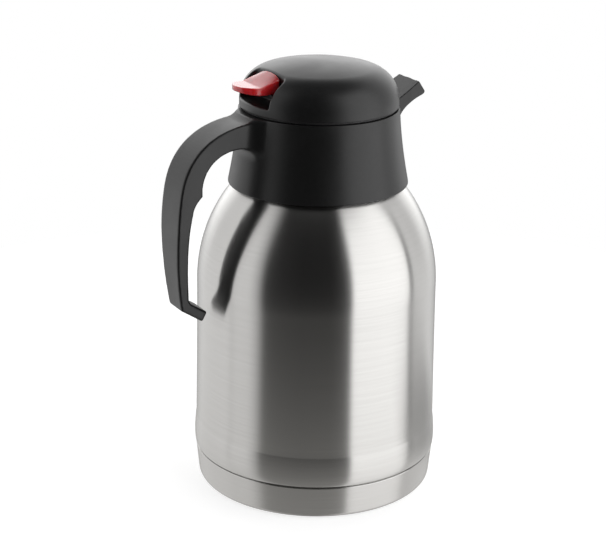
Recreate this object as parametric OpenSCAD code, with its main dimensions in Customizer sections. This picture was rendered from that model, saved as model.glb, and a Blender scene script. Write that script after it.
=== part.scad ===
// Two-litre vacuum carafe with a press lever in its domed lid.
// Origin at the centre of the foot, Z up, handle towards -X, spout towards +X.
// All sizes in millimetres.

/* [Body] */
// Radius of the steel shell just under the shoulder
body_r = 69.6; // [66:0.2:74]
// Extra radius of the shell where it flares above the base
base_flare = 2.2; // [1:0.1:3]
// Height at which the shoulder begins to curve in
shoulder_z = 122; // [110:1:128]
// Radius of the shoulder curve in side view
shoulder_r = 90; // [84:1:100]
// Outer radius of the steel neck
neck_r = 36; // [34:0.5:38]
// Height of the rim of the steel mouth
mouth_z = 207; // [205:0.5:209]
// Thickness of the steel walls
steel_t = 0.8; // [0.6:0.1:1.2]
// Vacuum gap between the shell and the flask, at the sides
vacuum_gap = 2.8; // [2:0.2:4]

/* [Base] */
// Height of the base cup, up to the groove
cup_h = 20.4; // [16:0.2:24]
// Radius of the base cup at its top edge
cup_r = 71; // [70:0.1:72]
// Radius of the rounded bottom edge of the cup
cup_round = 3; // [2:0.5:5]

/* [Collar] */
// Radius of the collar at its lower edge
collar_low_r = 51.4; // [50:0.1:53]
// Radius of the collar at its rim
collar_top_r = 45.7; // [45:0.1:47]
// Height of the lower edge of the collar
collar_low_z = 181; // [179:0.5:183]
// Height of the rim of the collar
collar_top_z = 224.5; // [223:0.5:226]
// Wall of the collar
collar_wall = 2.6; // [2:0.1:3]

/* [Spout] */
// How far the lip stands out from the axis
lip_x = 59.8; // [58:0.1:62]
// Height of the lip
lip_z = 234.8; // [233:0.1:236]
// Half width of the spout where it leaves the collar
spout_root_w = 12; // [11:0.1:13]
// Half width of the spout at its lip
spout_lip_w = 9.8; // [9:0.1:11]
// Wall of the spout
spout_wall = 2; // [1.6:0.1:2.4]

/* [Handle] */
// Width of the handle
handle_w = 23; // [20:0.5:26]
// Wall of the handle shell
handle_wall = 2.4; // [2:0.1:2.8]
// Thickness of the strip that closes the inside of the handle
insert_t = 1.8; // [1.4:0.1:2.2]

/* [Lid] */
// Radius of the dome above the seam
dome_r = 45.1; // [44:0.1:45.3]
// Height of the top of the dome
dome_top_z = 251; // [249:0.2:253]
// Radius of the shoulder of the dome in side view
dome_corner = 18.8; // [16:0.2:20]
// Height at which the side of the dome begins to curve in
dome_side_z = 229; // [228:0.5:231]
// Wall of the dome
dome_wall = 2.2; // [1.8:0.1:2.6]
// Height of the shadow gap between the collar and the dome
seam_gap = 1.1; // [0.8:0.1:1.4]

/* [Lever] */
// Half width of the thumb pad
pad_w = 10.8; // [10:0.1:12]
// Distance of the pad's crease from the axis
crease_x = 43; // [42:0.2:44]
// Height of the pad's crease
crease_z = 241.4; // [241:0.1:242]
// How far the lip of the pad stands out past the crease
pad_lip = 10.6; // [9:0.2:11]
// Thickness of the pad at its crease
pad_t = 4.4; // [4:0.1:5]
// Distance of the lever's pin from the axis, on the spout side
pivot_x = 31; // [29:0.5:33]
// Height of the lever's pin
pivot_z = 239.5; // [239:0.1:240]
// Half width of the well that the thumb presses the pad into
well_w = 17.5; // [16:0.5:19]
// Height of the floor of that well
well_floor_z = 230.5; // [230:0.1:231]

/* [Valve] */
// Outer radius of the stopper
stopper_r = 30.5; // [29:0.5:31]
// Height of the underside of the stopper
stopper_low_z = 186; // [182:1:190]
// Radius of the port that the valve closes
port_r = 16; // [12:1:18]
// Radius of the valve stem
stem_r = 3; // [2.5:0.1:3.5]
// Turns of the return spring
spring_turns = 5; // [4:1:7]
// Wire radius of the return spring
wire_r = 0.5; // [0.4:0.05:0.6]

/* [Hidden] */
$fn = 96;
eps = 0.01;
clear = 0.3;            // air between bodies that move past each other
fit = 0.1;              // running fit of a pin or stem in its bore
steel = "silver";
dark = [0.16, 0.16, 0.17];
black = [0.1, 0.1, 0.1];
red = [0.7, 0.1, 0.13];
soft = [0.85, 0.85, 0.82];

// ---- shared curves ---------------------------------------------------------------

// Points of a cubic curve from a to d, with b and c as its control points.
function curve(a, b, c, d, steps = 12) = [
    for (i = [0 : steps])
        let (t = i / steps, s = 1 - t)
            s * s * s * a + 3 * s * s * t * b + 3 * s * t * t * c + t * t * t * d
];

// Points of a circular arc in the plane, angles in degrees.
function arc(centre, r, from, to, steps = 10) = [
    for (i = [0 : steps])
        let (angle = from + (to - from) * i / steps) centre + r * [cos(angle), sin(angle)]
];

// The same path moved sideways by d, to the left of its direction of travel.
function shifted(path, d) = [
    for (i = [0 : len(path) - 1])
        let (
            before = path[max(i - 1, 0)],
            after = path[min(i + 1, len(path) - 1)],
            along = (after - before) / norm(after - before)
        ) path[i] + d * [-along[1], along[0]]
];

function reversed(path) = [for (i = [len(path) - 1 : -1 : 0]) path[i]];
function mirrored(path) = [for (p = path) [-p[0], p[1]]];

// A flat ring from radius inner to radius outer.
module ring(inner, outer, low, high) {
    rotate_extrude()
        polygon([[inner, low], [outer, low], [outer, high], [inner, high]]);
}

// A side view drawn in X and Z, made half_w thick to each side of the middle plane.
module side_slab(points, half_w) {
    rotate([90, 0, 0])
        linear_extrude(2 * half_w, center = true)
            polygon(points);
}

// ---- body ------------------------------------------------------------------------

groove_r = cup_r - 1;
shell_low_r = groove_r - 1;     // the shell steps in behind the base cup
shell_low_z = 7;
flare_z = cup_h + 5;
neck_curve = 6;         // radius of the inward curve from the shoulder into the neck

// Angle along the shoulder arc at which it reaches the start of the neck curve.
function shoulder_end(side_r, arc_r, neck) =
    acos((neck + neck_curve - side_r + arc_r) / (arc_r + neck_curve));

// One steel wall seen from the side: body, shoulder, and neck, from its lower edge up.
function wall_path(side_r, arc_r, neck, top) =
    let (
        turn = shoulder_end(side_r, arc_r, neck),
        hub = [side_r - arc_r, shoulder_z],
        corner = hub + (arc_r + neck_curve) * [cos(turn), sin(turn)]
    )
    concat(
        arc(hub, arc_r, 0, turn, 16),
        arc(corner, neck_curve, turn + 180, 180, 6),
        [[neck, top]]
    );

shell_outer = concat(
    [[shell_low_r, shell_low_z], [shell_low_r, cup_h - 4.4], [groove_r, cup_h - 3],
     [groove_r, cup_h + 0.3]],
    curve([groove_r + 1, cup_h + 0.9], [cup_r + 1, cup_h + 2.2],
          [body_r + base_flare, flare_z + 6], [body_r + 1.1, flare_z + 14], 8),
    wall_path(body_r, shoulder_r, neck_r, mouth_z - steel_t)
);

module outer_shell() {
    bead_z = mouth_z - 6.5;
    color(steel) {
        rotate_extrude()
            polygon(concat(shell_outer, reversed(shifted(shell_outer, steel_t))));
        // rolled bead that the collar snaps over
        translate([0, 0, bead_z])
            rotate_extrude()
                translate([neck_r - 0.2, 0])
                    circle(1, $fn = 32);
    }
}

flask_side = body_r - steel_t - vacuum_gap;
flask_neck = neck_r - 2 * steel_t - 0.4;
flask_low_z = 13;
mouth_r = flask_neck - steel_t;

// Outer side of the flask: dished floor, rounded corner, wall, shoulder and neck.
flask_outer = concat(
    [[0, flask_low_z + 3], [34, flask_low_z + 0.6]],
    arc([flask_side - 16, flask_low_z + 16], 16, -90, 0, 10),
    wall_path(flask_side, shoulder_r - 5, flask_neck, mouth_z - steel_t)
);

module inner_flask() {
    inside = reversed([for (p = shifted(flask_outer, steel_t)) [max(p[0], 0), p[1]]]);
    color(steel) {
        rotate_extrude()
            polygon(concat(flask_outer, inside));
        // welded rim that closes the mouth of the vacuum gap
        ring(mouth_r, neck_r, mouth_z - steel_t, mouth_z);
    }
}

module shell_bottom() {
    rim = shell_low_r - steel_t;
    dish = concat(
        [[2.4, 9.6], [30, 9.6]],
        curve([40, 8], [46, 6.8], [54, 6.4], [58, 6.4], 6),
        [[rim, 7], [rim, 10]]
    );
    color(steel)
        rotate_extrude()
            polygon(concat(dish, reversed([for (p = dish) [max(p[0] - 0.9, 2.4), p[1] + steel_t]])));
}

module vacuum_seal() {
    color("dimgray")
        rotate_extrude()
            polygon([[0, 8.6], [3.6, 8.6], [3.6, 9.6], [2.4, 9.6], [2.4, 10.4], [0, 10.4]]);
}

module getter_capsule() {
    color("gray")
        translate([24, 0, 10.4])
            cylinder(h = 2.6, r = 4);
}

module base_cup() {
    low = 1;
    edge_r = cup_r - 1.6 - cup_round;
    outside = concat(
        [[0, 3.4], [18, 3.4], [20, 2.6], [26, 2.6], [28, 3.4], [48, 3.4], [53, low], [edge_r, low]],
        arc([edge_r, low + cup_round], cup_round, -80, -8, 8),
        [[cup_r, cup_h - 1], [cup_r - 0.2, cup_h - 0.3], [cup_r - 0.5, cup_h]]
    );
    inside = [
        [groove_r, cup_h], [groove_r, cup_h - 3], [shell_low_r, cup_h - 4.4],
        [shell_low_r, 6.2], [edge_r - 0.5, low + 1.2], [53.4, low + 1.2],
        [48.4, 4.6], [27.6, 4.6], [25.6, 3.8], [20.4, 3.8], [18.4, 4.6], [0, 4.6]
    ];
    color(steel)
        rotate_extrude()
            polygon(concat(outside, inside));
}

module foot_ring() {
    color(black)
        rotate_extrude()
            polygon([
                [55, 1], [64, 1], [64, 0.4], [63.4, 0], [55.6, 0], [55, 0.4]
            ]);
}

// ---- collar and spout --------------------------------------------------------------

floor_z = mouth_z + 2;          // underside of the collar's floor, on the neck gasket
basin_z = floor_z + 3;          // floor of the basin that drains to the spout
bore_r = neck_r - 2.4;
basin_r = collar_top_r - collar_wall;

collar_side = curve([collar_low_r, collar_low_z + 1.2], [49, 194], [46.6, 208],
                    [collar_top_r, collar_top_z - 0.8], 14);

// Side view of the spout: top face, end, hollow underside, root inside the collar wall.
spout_top = [[collar_top_r - 0.1, 226.1], [lip_x, lip_z]];
spout_end = [[lip_x + 0.5, lip_z + 0.05], [lip_x + 3, lip_z - 3.1], [lip_x + 4.7, lip_z - 6.7],
             [lip_x + 4.4, lip_z - 7.9]];
spout_under = curve([lip_x + 3.4, lip_z - 8.5], [54, 223.5], [47.5, 219], [46.4, 211], 10);
spout_hollow = curve([lip_x + 5, lip_z - 5.3], [55, 226], [47, 222], [42, basin_z + 0.4], 10);

module neck_gasket() {
    color(soft)
        ring(bore_r, neck_r + 0.2, mouth_z, floor_z);
}

// The spout narrows in plan towards its lip; inset takes that much off each side.
module spout_plan(inset) {
    root = spout_root_w - inset;
    lip = spout_lip_w - inset;
    translate([0, 0, 200])
        linear_extrude(50)
            polygon([
                [30, -root], [54, -root + 0.3], [lip_x + 6, -lip],
                [lip_x + 6, lip], [54, root - 0.3], [30, root]
            ]);
}

module spout_solid() {
    intersection() {
        side_slab(concat(spout_top, spout_end, spout_under,
                         [[collar_top_r - 2, 211], [collar_top_r - 2, collar_top_z],
                          [collar_top_r - 0.1, collar_top_z]]), 14);
        spout_plan(0);
    }
}

module spout_channel() {
    roof = [[42, 222.4], [44.6, 222.4], [lip_x + 8, lip_z + 2.4]];
    intersection() {
        side_slab(concat(roof, spout_hollow), 14);
        spout_plan(spout_wall);
    }
}

module collar() {
    inside = shifted(collar_side, collar_wall);
    skirt_r = neck_r + 0.2;
    color(dark)
        difference() {
            union() {
                // outer wall
                rotate_extrude()
                    polygon(concat(
                        [[collar_low_r - collar_wall, collar_low_z],
                         [collar_low_r - 0.8, collar_low_z]],
                        collar_side,
                        [[collar_top_r - 0.6, collar_top_z], [basin_r + 0.3, collar_top_z]],
                        reversed(inside)));
                // floor of the basin and the skirt that grips the neck
                rotate_extrude()
                    polygon([
                        [bore_r, floor_z], [skirt_r, floor_z], [skirt_r, mouth_z - 11],
                        [skirt_r + 2.2, mouth_z - 11], [skirt_r + 2.2, floor_z - 1],
                        [44.4, floor_z - 1], [44.4, basin_z - 0.6], [bore_r + 1, basin_z],
                        [bore_r, basin_z - 1]
                    ]);
                spout_solid();
            }
            spout_channel();
            // groove for the bead of the neck
            translate([0, 0, mouth_z - 6.5])
                rotate_extrude()
                    translate([neck_r - 0.2, 0])
                        circle(1.2, $fn = 32);
            // countersunk holes for the handle screws
            handle_screw_places() {
                cylinder(h = 12, r = 1.6);
                translate([0, 0, -1.2])
                    cylinder(h = 2, r = 3.1);
            }
        }
}

// ---- handle ------------------------------------------------------------------------

root_x = 40;
screw_z = 216.5;
screw_y = 6.5;
screw_from_x = basin_r - 0.2;

handle_back = concat(
    [[root_x, 222.6]],
    curve([44, 222.6], [66, 222.2], [87, 213], [91.4, 187], 18),
    curve([91.6, 185.8], [93.6, 174], [95.6, 150], [91.6, 121.5], 14)
);
handle_foot = [[90.9, 118.7], [89.2, 116.9], [81.2, 113.2], [80.1, 113.4], [77.9, 116.8], [78, 117.6]];
grip_low = curve([87.1, 125.8], [88.8, 142], [89.6, 160], [85.4, 175.4], 12);
grip_step = curve([85, 176.4], [83.8, 180], [81.4, 182.8], [79.2, 184.6], 6);
grip_high = curve([79.3, 188.5], [78.6, 199], [70, 208.4], [56, 208.6], 14);
handle_inside = concat([[86.2, 124.2]], grip_low, grip_step, grip_high, [[root_x, 207.4]]);

module handle_screw_places() {
    for (side = [-1, 1])
        translate([-screw_from_x, side * screw_y, screw_z])
            rotate([0, -90, 0])
                children();
}

// Everything inside the outer surface of the collar, to cut the handle's root to it.
module collar_plug() {
    rotate_extrude()
        polygon(concat([[0, collar_low_z]], [[collar_low_r - 0.8, collar_low_z]], collar_side,
                       [[0, collar_top_z - 0.8]]));
}

// Room behind the strip: between the shifted back and the inner face of the handle.
pocket_back = [for (p = shifted(handle_back, -handle_wall)) if (p[0] > 56 && p[1] > 128) p];
pocket_front = concat(grip_low, grip_step, [for (p = grip_high) if (p[0] > 57) p]);

module handle_shell() {
    color(dark)
        difference() {
            side_slab(mirrored(concat(handle_back, handle_foot, handle_inside)), handle_w / 2);
            side_slab(mirrored(concat(pocket_back, pocket_front)), handle_w / 2 - handle_wall);
            collar_plug();
            handle_screw_places()
                cylinder(h = 16, r = 1.5);
        }
}

module handle_insert() {
    low = [for (p = grip_low) if (p[1] > 131) p];
    front = concat(low, grip_step, [for (p = grip_high) if (p[0] > 59) p]);
    color(black)
        side_slab(mirrored(concat(shifted(front, 0.25), reversed(shifted(front, -insert_t)))),
                  handle_w / 2 - handle_wall - 0.1);
}

module handle_screws() {
    color(steel)
        handle_screw_places() {
            translate([0, 0, -0.9])
                difference() {
                    cylinder(h = 1.6, r = 2.9);
                    screw_cross();
                }
            cylinder(h = 13, r = 1.45);
        }
}

// Cross recess in a screw head, cut from its outer face.
module screw_cross() {
    for (turn = [0, 90])
        rotate([0, 0, turn])
            translate([-1.7, -0.35, -eps])
                cube([3.4, 0.7, 0.9]);
}

// ---- lid ---------------------------------------------------------------------------

dome_low_z = collar_top_z + seam_gap;
plate_z = dome_low_z;                       // top face of the lid's base plate
dome_inner_r = dome_r - dome_wall;
corner_hub_r = dome_r - dome_corner;
crown_rise = dome_top_z - dome_side_z;
// Radius of the crown that meets the dome's shoulder without a kink.
crown_r = (corner_hub_r * corner_hub_r + crown_rise * crown_rise - dome_corner * dome_corner)
          / (2 * (crown_rise - dome_corner));
crown_hub_z = dome_top_z - crown_r;
crown_angle = asin(corner_hub_r / (crown_r - dome_corner));

// Half outline of the dome, moved inwards by inset.
function dome_path(inset, low) = concat(
    [[dome_r - inset, low]],
    arc([corner_hub_r, dome_side_z], dome_corner - inset, 0, 90 - crown_angle, 12),
    [for (i = [1 : 8])
        let (angle = crown_angle * (1 - i / 8))
            [(crown_r - inset) * sin(angle), crown_hub_z + (crown_r - inset) * cos(angle)]]
);

module dome_solid(inset, low) {
    rotate_extrude()
        polygon(concat([[0, low]], dome_path(inset, low)));
}

well_back_x = 28.4;
well_wall = 1.6;
well_corner = 5;
post_r = 33.8;
post_angles = [60, 120, 240, 300];

// Plan of the thumb well, grown by d, extruded between two heights.
module well_block(d, low, high) {
    inner = well_back_x - d;
    half = well_w + d;
    round_r = well_corner + d;
    corner = arc([inner + round_r, half - round_r], round_r, 180, 90, 6);
    outline = concat(corner, [[60, half], [60, -half]], [for (p = reversed(corner)) [p[0], -p[1]]]);
    translate([0, 0, low])
        linear_extrude(high - low)
            polygon(mirrored(outline));
}

module at_posts() {
    for (angle = post_angles)
        rotate([0, 0, angle])
            translate([post_r, 0, 0])
                children();
}

module lid_dome() {
    slot_w = 6.8;
    color(dark)
        difference() {
            union() {
                difference() {
                    dome_solid(0, dome_low_z);
                    dome_solid(dome_wall, dome_low_z - 1);
                }
                // walls and floor of the thumb well
                intersection() {
                    well_block(well_wall, well_floor_z - well_wall, 260);
                    dome_solid(0.4, dome_low_z + 1);
                }
                // posts that the lid's screws bite into
                intersection() {
                    at_posts()
                        translate([0, 0, plate_z])
                            cylinder(h = 25, r = 3.6);
                    dome_solid(0.4, plate_z);
                }
            }
            well_block(0, well_floor_z, 260);
            // slot that the lever's arm passes through
            translate([-well_back_x - 1, -slot_w, 233.6])
                cube([well_wall + 3, 2 * slot_w, 12]);
            at_posts()
                translate([0, 0, plate_z - 1])
                    cylinder(h = 13, r = 1.45);
        }
}

flange_r = dome_r - 1;
plate_low_z = collar_top_z - 1.9;           // underside of the plate, inside the collar
ear_gap = 7;                                // half the room between the lever's ears
ear_t = 2.6;
guide_top_z = 232;
guide_r = 5;

module lid_base() {
    color(black)
        difference() {
            union() {
                rotate_extrude()
                    polygon([
                        [0, plate_low_z], [basin_r - 0.6, plate_low_z],
                        [basin_r - 0.6, collar_top_z + clear], [flange_r, collar_top_z + clear],
                        [flange_r, dome_low_z], [dome_inner_r - 0.2, dome_low_z],
                        [dome_inner_r - 0.2, dome_low_z + 2], [dome_inner_r - 2, dome_low_z + 2],
                        [dome_inner_r - 2, dome_low_z], [0, dome_low_z]
                    ]);
                // guide tube for the valve stem
                cylinder_between(guide_r, plate_low_z, guide_top_z);
                // ears that carry the lever's pin
                for (side = [-1, 1])
                    translate([0, side * (ear_gap + ear_t / 2), 0])
                        side_slab(concat(
                            [[pivot_x - 7, dome_low_z - eps], [pivot_x + 7, dome_low_z - eps]],
                            arc([pivot_x, pivot_z], 4, -10, 190, 12)), ear_t / 2);
            }
            cylinder_between(stem_r + fit, plate_low_z - 1, guide_top_z + 1);
            // groove for the stem's O-ring, open downwards
            cylinder_between(stem_r + 2, plate_low_z - 1, plate_low_z + 2);
            translate([pivot_x, 0, pivot_z])
                rotate([90, 0, 0])
                    cylinder(h = 40, r = pin_r, center = true);
            at_posts()
                cylinder_between(1.7, plate_low_z - 1, dome_low_z + 1);
        }
}

module cylinder_between(r, low, high) {
    translate([0, 0, low])
        cylinder(h = high - low, r = r);
}

gasket_t = 0.8;
stopper_top_z = plate_low_z - gasket_t;
stopper_wall = 2;
flange_z = stopper_top_z - 1.6;             // underside of the stopper's screwed flange
seat_t = 2;
window_count = 8;

module lid_gasket() {
    color(soft)
        difference() {
            ring(24, 38.4, stopper_top_z, plate_low_z);
            at_posts()
                cylinder_between(1.9, 200, 240);
        }
}

module lid_screws() {
    head_low = flange_z - 1.6;
    color(steel)
        at_posts() {
            difference() {
                cylinder_between(2.6, head_low, flange_z);
                translate([0, 0, head_low])
                    screw_cross();
            }
            cylinder_between(1.4, flange_z - eps, plate_z + 10);
        }
}

// Radial rib or spoke between two radii.
module spoke(from_r, to_r, half_w, low, high) {
    translate([from_r, -half_w, low])
        cube([to_r - from_r, 2 * half_w, high - low]);
}

module stopper_body() {
    seal_low = 195.8;
    seal_high = 203.2;
    color(black)
        difference() {
            union() {
                rotate_extrude()
                    polygon([
                        [port_r, stopper_low_z], [stopper_r - 1.5, stopper_low_z],
                        [stopper_r, stopper_low_z + 1.5], [stopper_r, seal_low],
                        [stopper_r - 1, seal_low], [stopper_r - 1, seal_high],
                        [stopper_r, seal_high], [stopper_r, flange_z], [38, flange_z],
                        [38, stopper_top_z], [stopper_r - stopper_wall, stopper_top_z],
                        [stopper_r - stopper_wall, stopper_low_z + seat_t],
                        [port_r, stopper_low_z + seat_t]
                    ]);
                // hub and spokes that guide the stem across the port
                cylinder_between(6, stopper_low_z, stopper_low_z + 6);
                for (i = [0 : 3])
                    rotate([0, 0, 45 + 90 * i])
                        spoke(4, port_r + 2, 1.2, stopper_low_z, stopper_low_z + seat_t);
            }
            cylinder_between(stem_r + fit, stopper_low_z - 1, stopper_low_z + 8);
            // windows that let the drink out into the collar's basin
            for (i = [0 : window_count - 1])
                rotate([0, 0, 360 / window_count * i])
                    spoke(stopper_r - 4, stopper_r + 3, 7, basin_z + 0.4, flange_z - 0.6);
            at_posts()
                cylinder_between(1.7, 200, 240);
        }
}

module stopper_seal() {
    lip_r = mouth_r - clear;
    inner = stopper_r - 1;
    color(soft)
        rotate_extrude()
            polygon([
                [inner, 195.8], [lip_r - 0.8, 195.8], [lip_r, 196.6], [lip_r, 197.6],
                [stopper_r + 0.4, 198.6], [stopper_r + 0.4, 200], [lip_r, 200.8],
                [lip_r, 201.8], [lip_r - 1, 203.2], [inner, 203.2]
            ]);
}

// ---- lever -------------------------------------------------------------------------

pin_r = 1.5;
pad_back_x = 31;
pad_slope = 0.34;
lip_slope = 0.04;
arm_w = 6;
arm_low_z = 240.2;
nose_r = 2.4;
cap_top_z = 238.6;

// Height of the pad's top face at distance x from the axis.
function pad_top(x) = x < crease_x
    ? crease_z + pad_slope * (crease_x - x)
    : crease_z + lip_slope * (x - crease_x);

// Radius of an arc that spans the pad's width with a given rise.
function span_radius(rise) = (pad_w * pad_w + rise * rise) / (2 * rise);

// Plan of the pad: straight sides, a bold arc at the lip and a shallow one behind.
module pad_plan() {
    lip_r = span_radius(pad_lip);
    back_rise = 1.6;
    back_r = span_radius(back_rise);
    lip_angle = asin(pad_w / lip_r);
    back_angle = asin(pad_w / back_r);
    lip_arc = arc([crease_x + pad_lip - lip_r, 0], lip_r, -lip_angle, lip_angle, 16);
    back_arc = arc([pad_back_x - back_rise + back_r, 0], back_r,
                   180 - back_angle, 180 + back_angle, 8);
    translate([0, 0, 230])
        linear_extrude(25)
            polygon(mirrored(concat(lip_arc, back_arc)));
}

module lever() {
    tip_x = crease_x + pad_lip;
    hub_r = 3.9;
    pad_side = [
        [pad_back_x - 2, 238.4], [crease_x - 6, 236.8], [crease_x, crease_z - pad_t],
        [tip_x + 1, pad_top(tip_x) - 2.8], [tip_x + 1, pad_top(tip_x + 1)],
        [crease_x, crease_z], [pad_back_x - 2, pad_top(pad_back_x - 2)]
    ];
    arm_side = [
        [-pivot_x, pivot_z - 1], [-pivot_x, pivot_z + 3], [0, 243.2],
        [pad_back_x + 1, 243.6], [pad_back_x + 1, 238.6], [pad_back_x - 4, arm_low_z],
        [0, arm_low_z], [-pivot_x + 6, arm_low_z]
    ];
    color(red)
        difference() {
            union() {
                intersection() {
                    side_slab(mirrored(pad_side), pad_w + 1);
                    pad_plan();
                }
                side_slab(mirrored(arm_side), arm_w);
                // rounded nose that bears on the spring cap
                intersection() {
                    translate([0, 0, cap_top_z + clear + nose_r])
                        rotate([90, 0, 0])
                            cylinder(h = 2 * arm_w - 4, r = nose_r, center = true);
                    translate([-5, -arm_w, 235])
                        cube([10, 2 * arm_w, 7]);
                }
                translate([pivot_x, 0, pivot_z])
                    rotate([90, 0, 0])
                        cylinder(h = 2 * (ear_gap - clear), r = hub_r, center = true);
            }
            translate([pivot_x, 0, pivot_z])
                rotate([90, 0, 0])
                    cylinder(h = 40, r = pin_r + 0.05, center = true);
        }
}

module lever_pin() {
    color(steel)
        translate([pivot_x, 0, pivot_z])
            rotate([90, 0, 0])
                cylinder(h = 2 * (ear_gap + ear_t), r = pin_r, center = true);
}

// ---- valve -------------------------------------------------------------------------

disc_top_z = stopper_low_z - 1.2;
disc_t = 2.4;
seal_r = port_r + 3;
cap_r = 7.6;
cap_low_z = cap_top_z - 2;

module valve_stem() {
    color(steel)
        union() {
            cylinder_between(stem_r, disc_top_z - disc_t, cap_low_z);
            cylinder_between(stem_r - 1, cap_low_z - eps, cap_top_z - 0.8);
            cylinder_between(stem_r + 1.6, disc_top_z - disc_t - 1, disc_top_z - disc_t);
        }
}

module valve_disc() {
    color(black)
        rotate_extrude()
            polygon([
                [stem_r, disc_top_z - disc_t], [seal_r - 3, disc_top_z - disc_t],
                [seal_r + 0.6, disc_top_z - 1], [seal_r + 0.6, disc_top_z],
                [stem_r, disc_top_z]
            ]);
}

module valve_seal() {
    top = stopper_low_z - 0.2;
    color(soft)
        rotate_extrude()
            polygon([
                [seal_r - 4.6, disc_top_z], [seal_r, disc_top_z], [seal_r - 0.6, top],
                [seal_r - 1.6, top], [seal_r - 2.6, disc_top_z + 0.5], [seal_r - 4.6, disc_top_z + 0.5]
            ]);
}

module stem_oring() {
    color(black)
        translate([0, 0, plate_low_z + 1])
            rotate_extrude()
                translate([stem_r + 1.05, 0])
                    circle(0.95, $fn = 32);
}

module spring_cap() {
    color(soft)
        rotate_extrude()
            polygon([
                [stem_r - 1, cap_low_z], [cap_r, cap_low_z], [cap_r, cap_top_z - 1],
                [cap_r - 1, cap_top_z], [0, cap_top_z], [0, cap_top_z - 0.8],
                [stem_r - 1, cap_top_z - 0.8]
            ]);
}

spring_r = 6.3;                             // radius of the spring's centre line
spring_low = plate_z + wire_r;
spring_high = cap_low_z - wire_r;
spring_sides = 8;
spring_steps = 16;                          // rings of points in one turn

// Height of the spring's centre line after a given number of turns: flat end coils.
function spring_z(turns) =
    let (
        flat_rise = 2 * wire_r + 0.45,
        pitch = (spring_high - spring_low - 2 * flat_rise) / (spring_turns - 2)
    )
    turns < 1 ? spring_low + flat_rise * turns
    : turns > spring_turns - 1 ? spring_high - flat_rise * (spring_turns - turns)
    : spring_low + flat_rise + pitch * (turns - 1);

// Points of a round wire wound along spring_z(), ring after ring.
spring_rings = spring_turns * spring_steps;
spring_points = [
    for (i = [0 : spring_rings], j = [0 : spring_sides - 1])
        let (
            turn = 360 * i / spring_steps,
            around = 360 * j / spring_sides,
            r = spring_r + wire_r * cos(around)
        ) [r * cos(turn), r * sin(turn), spring_z(i / spring_steps) + wire_r * sin(around)]
];
spring_faces = concat(
    [[for (j = [0 : spring_sides - 1]) j]],
    [for (i = [0 : spring_rings - 1], j = [0 : spring_sides - 1])
        let (next = (j + 1) % spring_sides, a = i * spring_sides, b = a + spring_sides)
            [a + j, b + j, b + next, a + next]],
    [[for (j = [spring_sides - 1 : -1 : 0]) spring_rings * spring_sides + j]]
);
spring_gap = min([for (i = [0 : spring_rings - spring_steps])
    spring_z(i / spring_steps + 1) - spring_z(i / spring_steps)]) - 2 * wire_r;
echo(least_gap_between_spring_coils = spring_gap);

module valve_spring() {
    color(steel)
        polyhedron(spring_points, spring_faces, convexity = 8);
}

// ---- drawing -----------------------------------------------------------------------

base_cup();
foot_ring();
shell_bottom();
vacuum_seal();
outer_shell();
inner_flask();
getter_capsule();
neck_gasket();
collar();
handle_shell();
handle_insert();
handle_screws();
lid_dome();
lid_base();
lid_gasket();
lid_screws();
stopper_body();
stopper_seal();
stem_oring();
lever();
lever_pin();
valve_stem();
valve_disc();
valve_seal();
spring_cap();
valve_spring();
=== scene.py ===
"""Looks of a two-litre vacuum carafe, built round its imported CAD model.

A brushed steel jug stands on a rubber ring. A black moulding closes its neck and carries the
spout and the handle, and a black domed lid with a red thumb lever sits in it. Lengths are in
millimetres, in the frame of the CAD model, and become metres where a mesh is made.
"""

from __future__ import annotations

import logging
import math
from dataclasses import dataclass, field
from enum import Enum
from typing import Callable, Iterable, Optional, Sequence

import bpy
import numpy as np
from mathutils import Matrix, Vector


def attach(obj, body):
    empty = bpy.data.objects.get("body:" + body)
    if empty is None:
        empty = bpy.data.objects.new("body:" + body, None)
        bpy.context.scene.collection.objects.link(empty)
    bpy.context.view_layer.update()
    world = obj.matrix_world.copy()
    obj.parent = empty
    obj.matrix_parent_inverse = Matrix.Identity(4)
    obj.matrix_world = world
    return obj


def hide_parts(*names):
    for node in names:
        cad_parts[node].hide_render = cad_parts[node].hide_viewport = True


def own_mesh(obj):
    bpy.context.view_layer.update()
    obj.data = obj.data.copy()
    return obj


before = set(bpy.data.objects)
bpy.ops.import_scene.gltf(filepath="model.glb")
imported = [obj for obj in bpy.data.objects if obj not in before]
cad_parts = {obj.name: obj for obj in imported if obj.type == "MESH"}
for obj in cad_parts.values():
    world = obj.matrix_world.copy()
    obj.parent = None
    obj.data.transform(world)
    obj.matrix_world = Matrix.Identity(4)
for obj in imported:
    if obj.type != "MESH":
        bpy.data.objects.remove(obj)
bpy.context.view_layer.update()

LOG = logging.getLogger("carafe")
MM = 0.001
Array = np.ndarray
Point = Sequence[float]


# ---- curves and outlines ---------------------------------------------------------------


def curve(a: Point, b: Point, c: Point, d: Point, steps: int = 24) -> list[Point]:
    """Samples a cubic curve.

    Args:
        a: First point.
        b: First control point.
        c: Second control point.
        d: Last point.
        steps: Number of spans.

    Returns:
        The points from a to d.
    """
    t = np.linspace(0.0, 1.0, steps + 1)[:, None]
    s = 1.0 - t
    a, b, c, d = (np.asarray(p, float) for p in (a, b, c, d))
    return [tuple(p) for p in s**3 * a + 3 * s * s * t * b + 3 * s * t * t * c + t**3 * d]


def arc(centre: Point, radius: float, start: float, stop: float, steps: int = 16) -> list[Point]:
    """Samples a circular arc.

    Args:
        centre: Centre of the circle.
        radius: Its radius.
        start: First angle in degrees.
        stop: Last angle in degrees.
        steps: Number of spans.

    Returns:
        The points from start to stop.
    """
    return [
        (centre[0] + radius * math.cos(a), centre[1] + radius * math.sin(a))
        for a in np.radians(np.linspace(start, stop, steps + 1))
    ]


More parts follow.
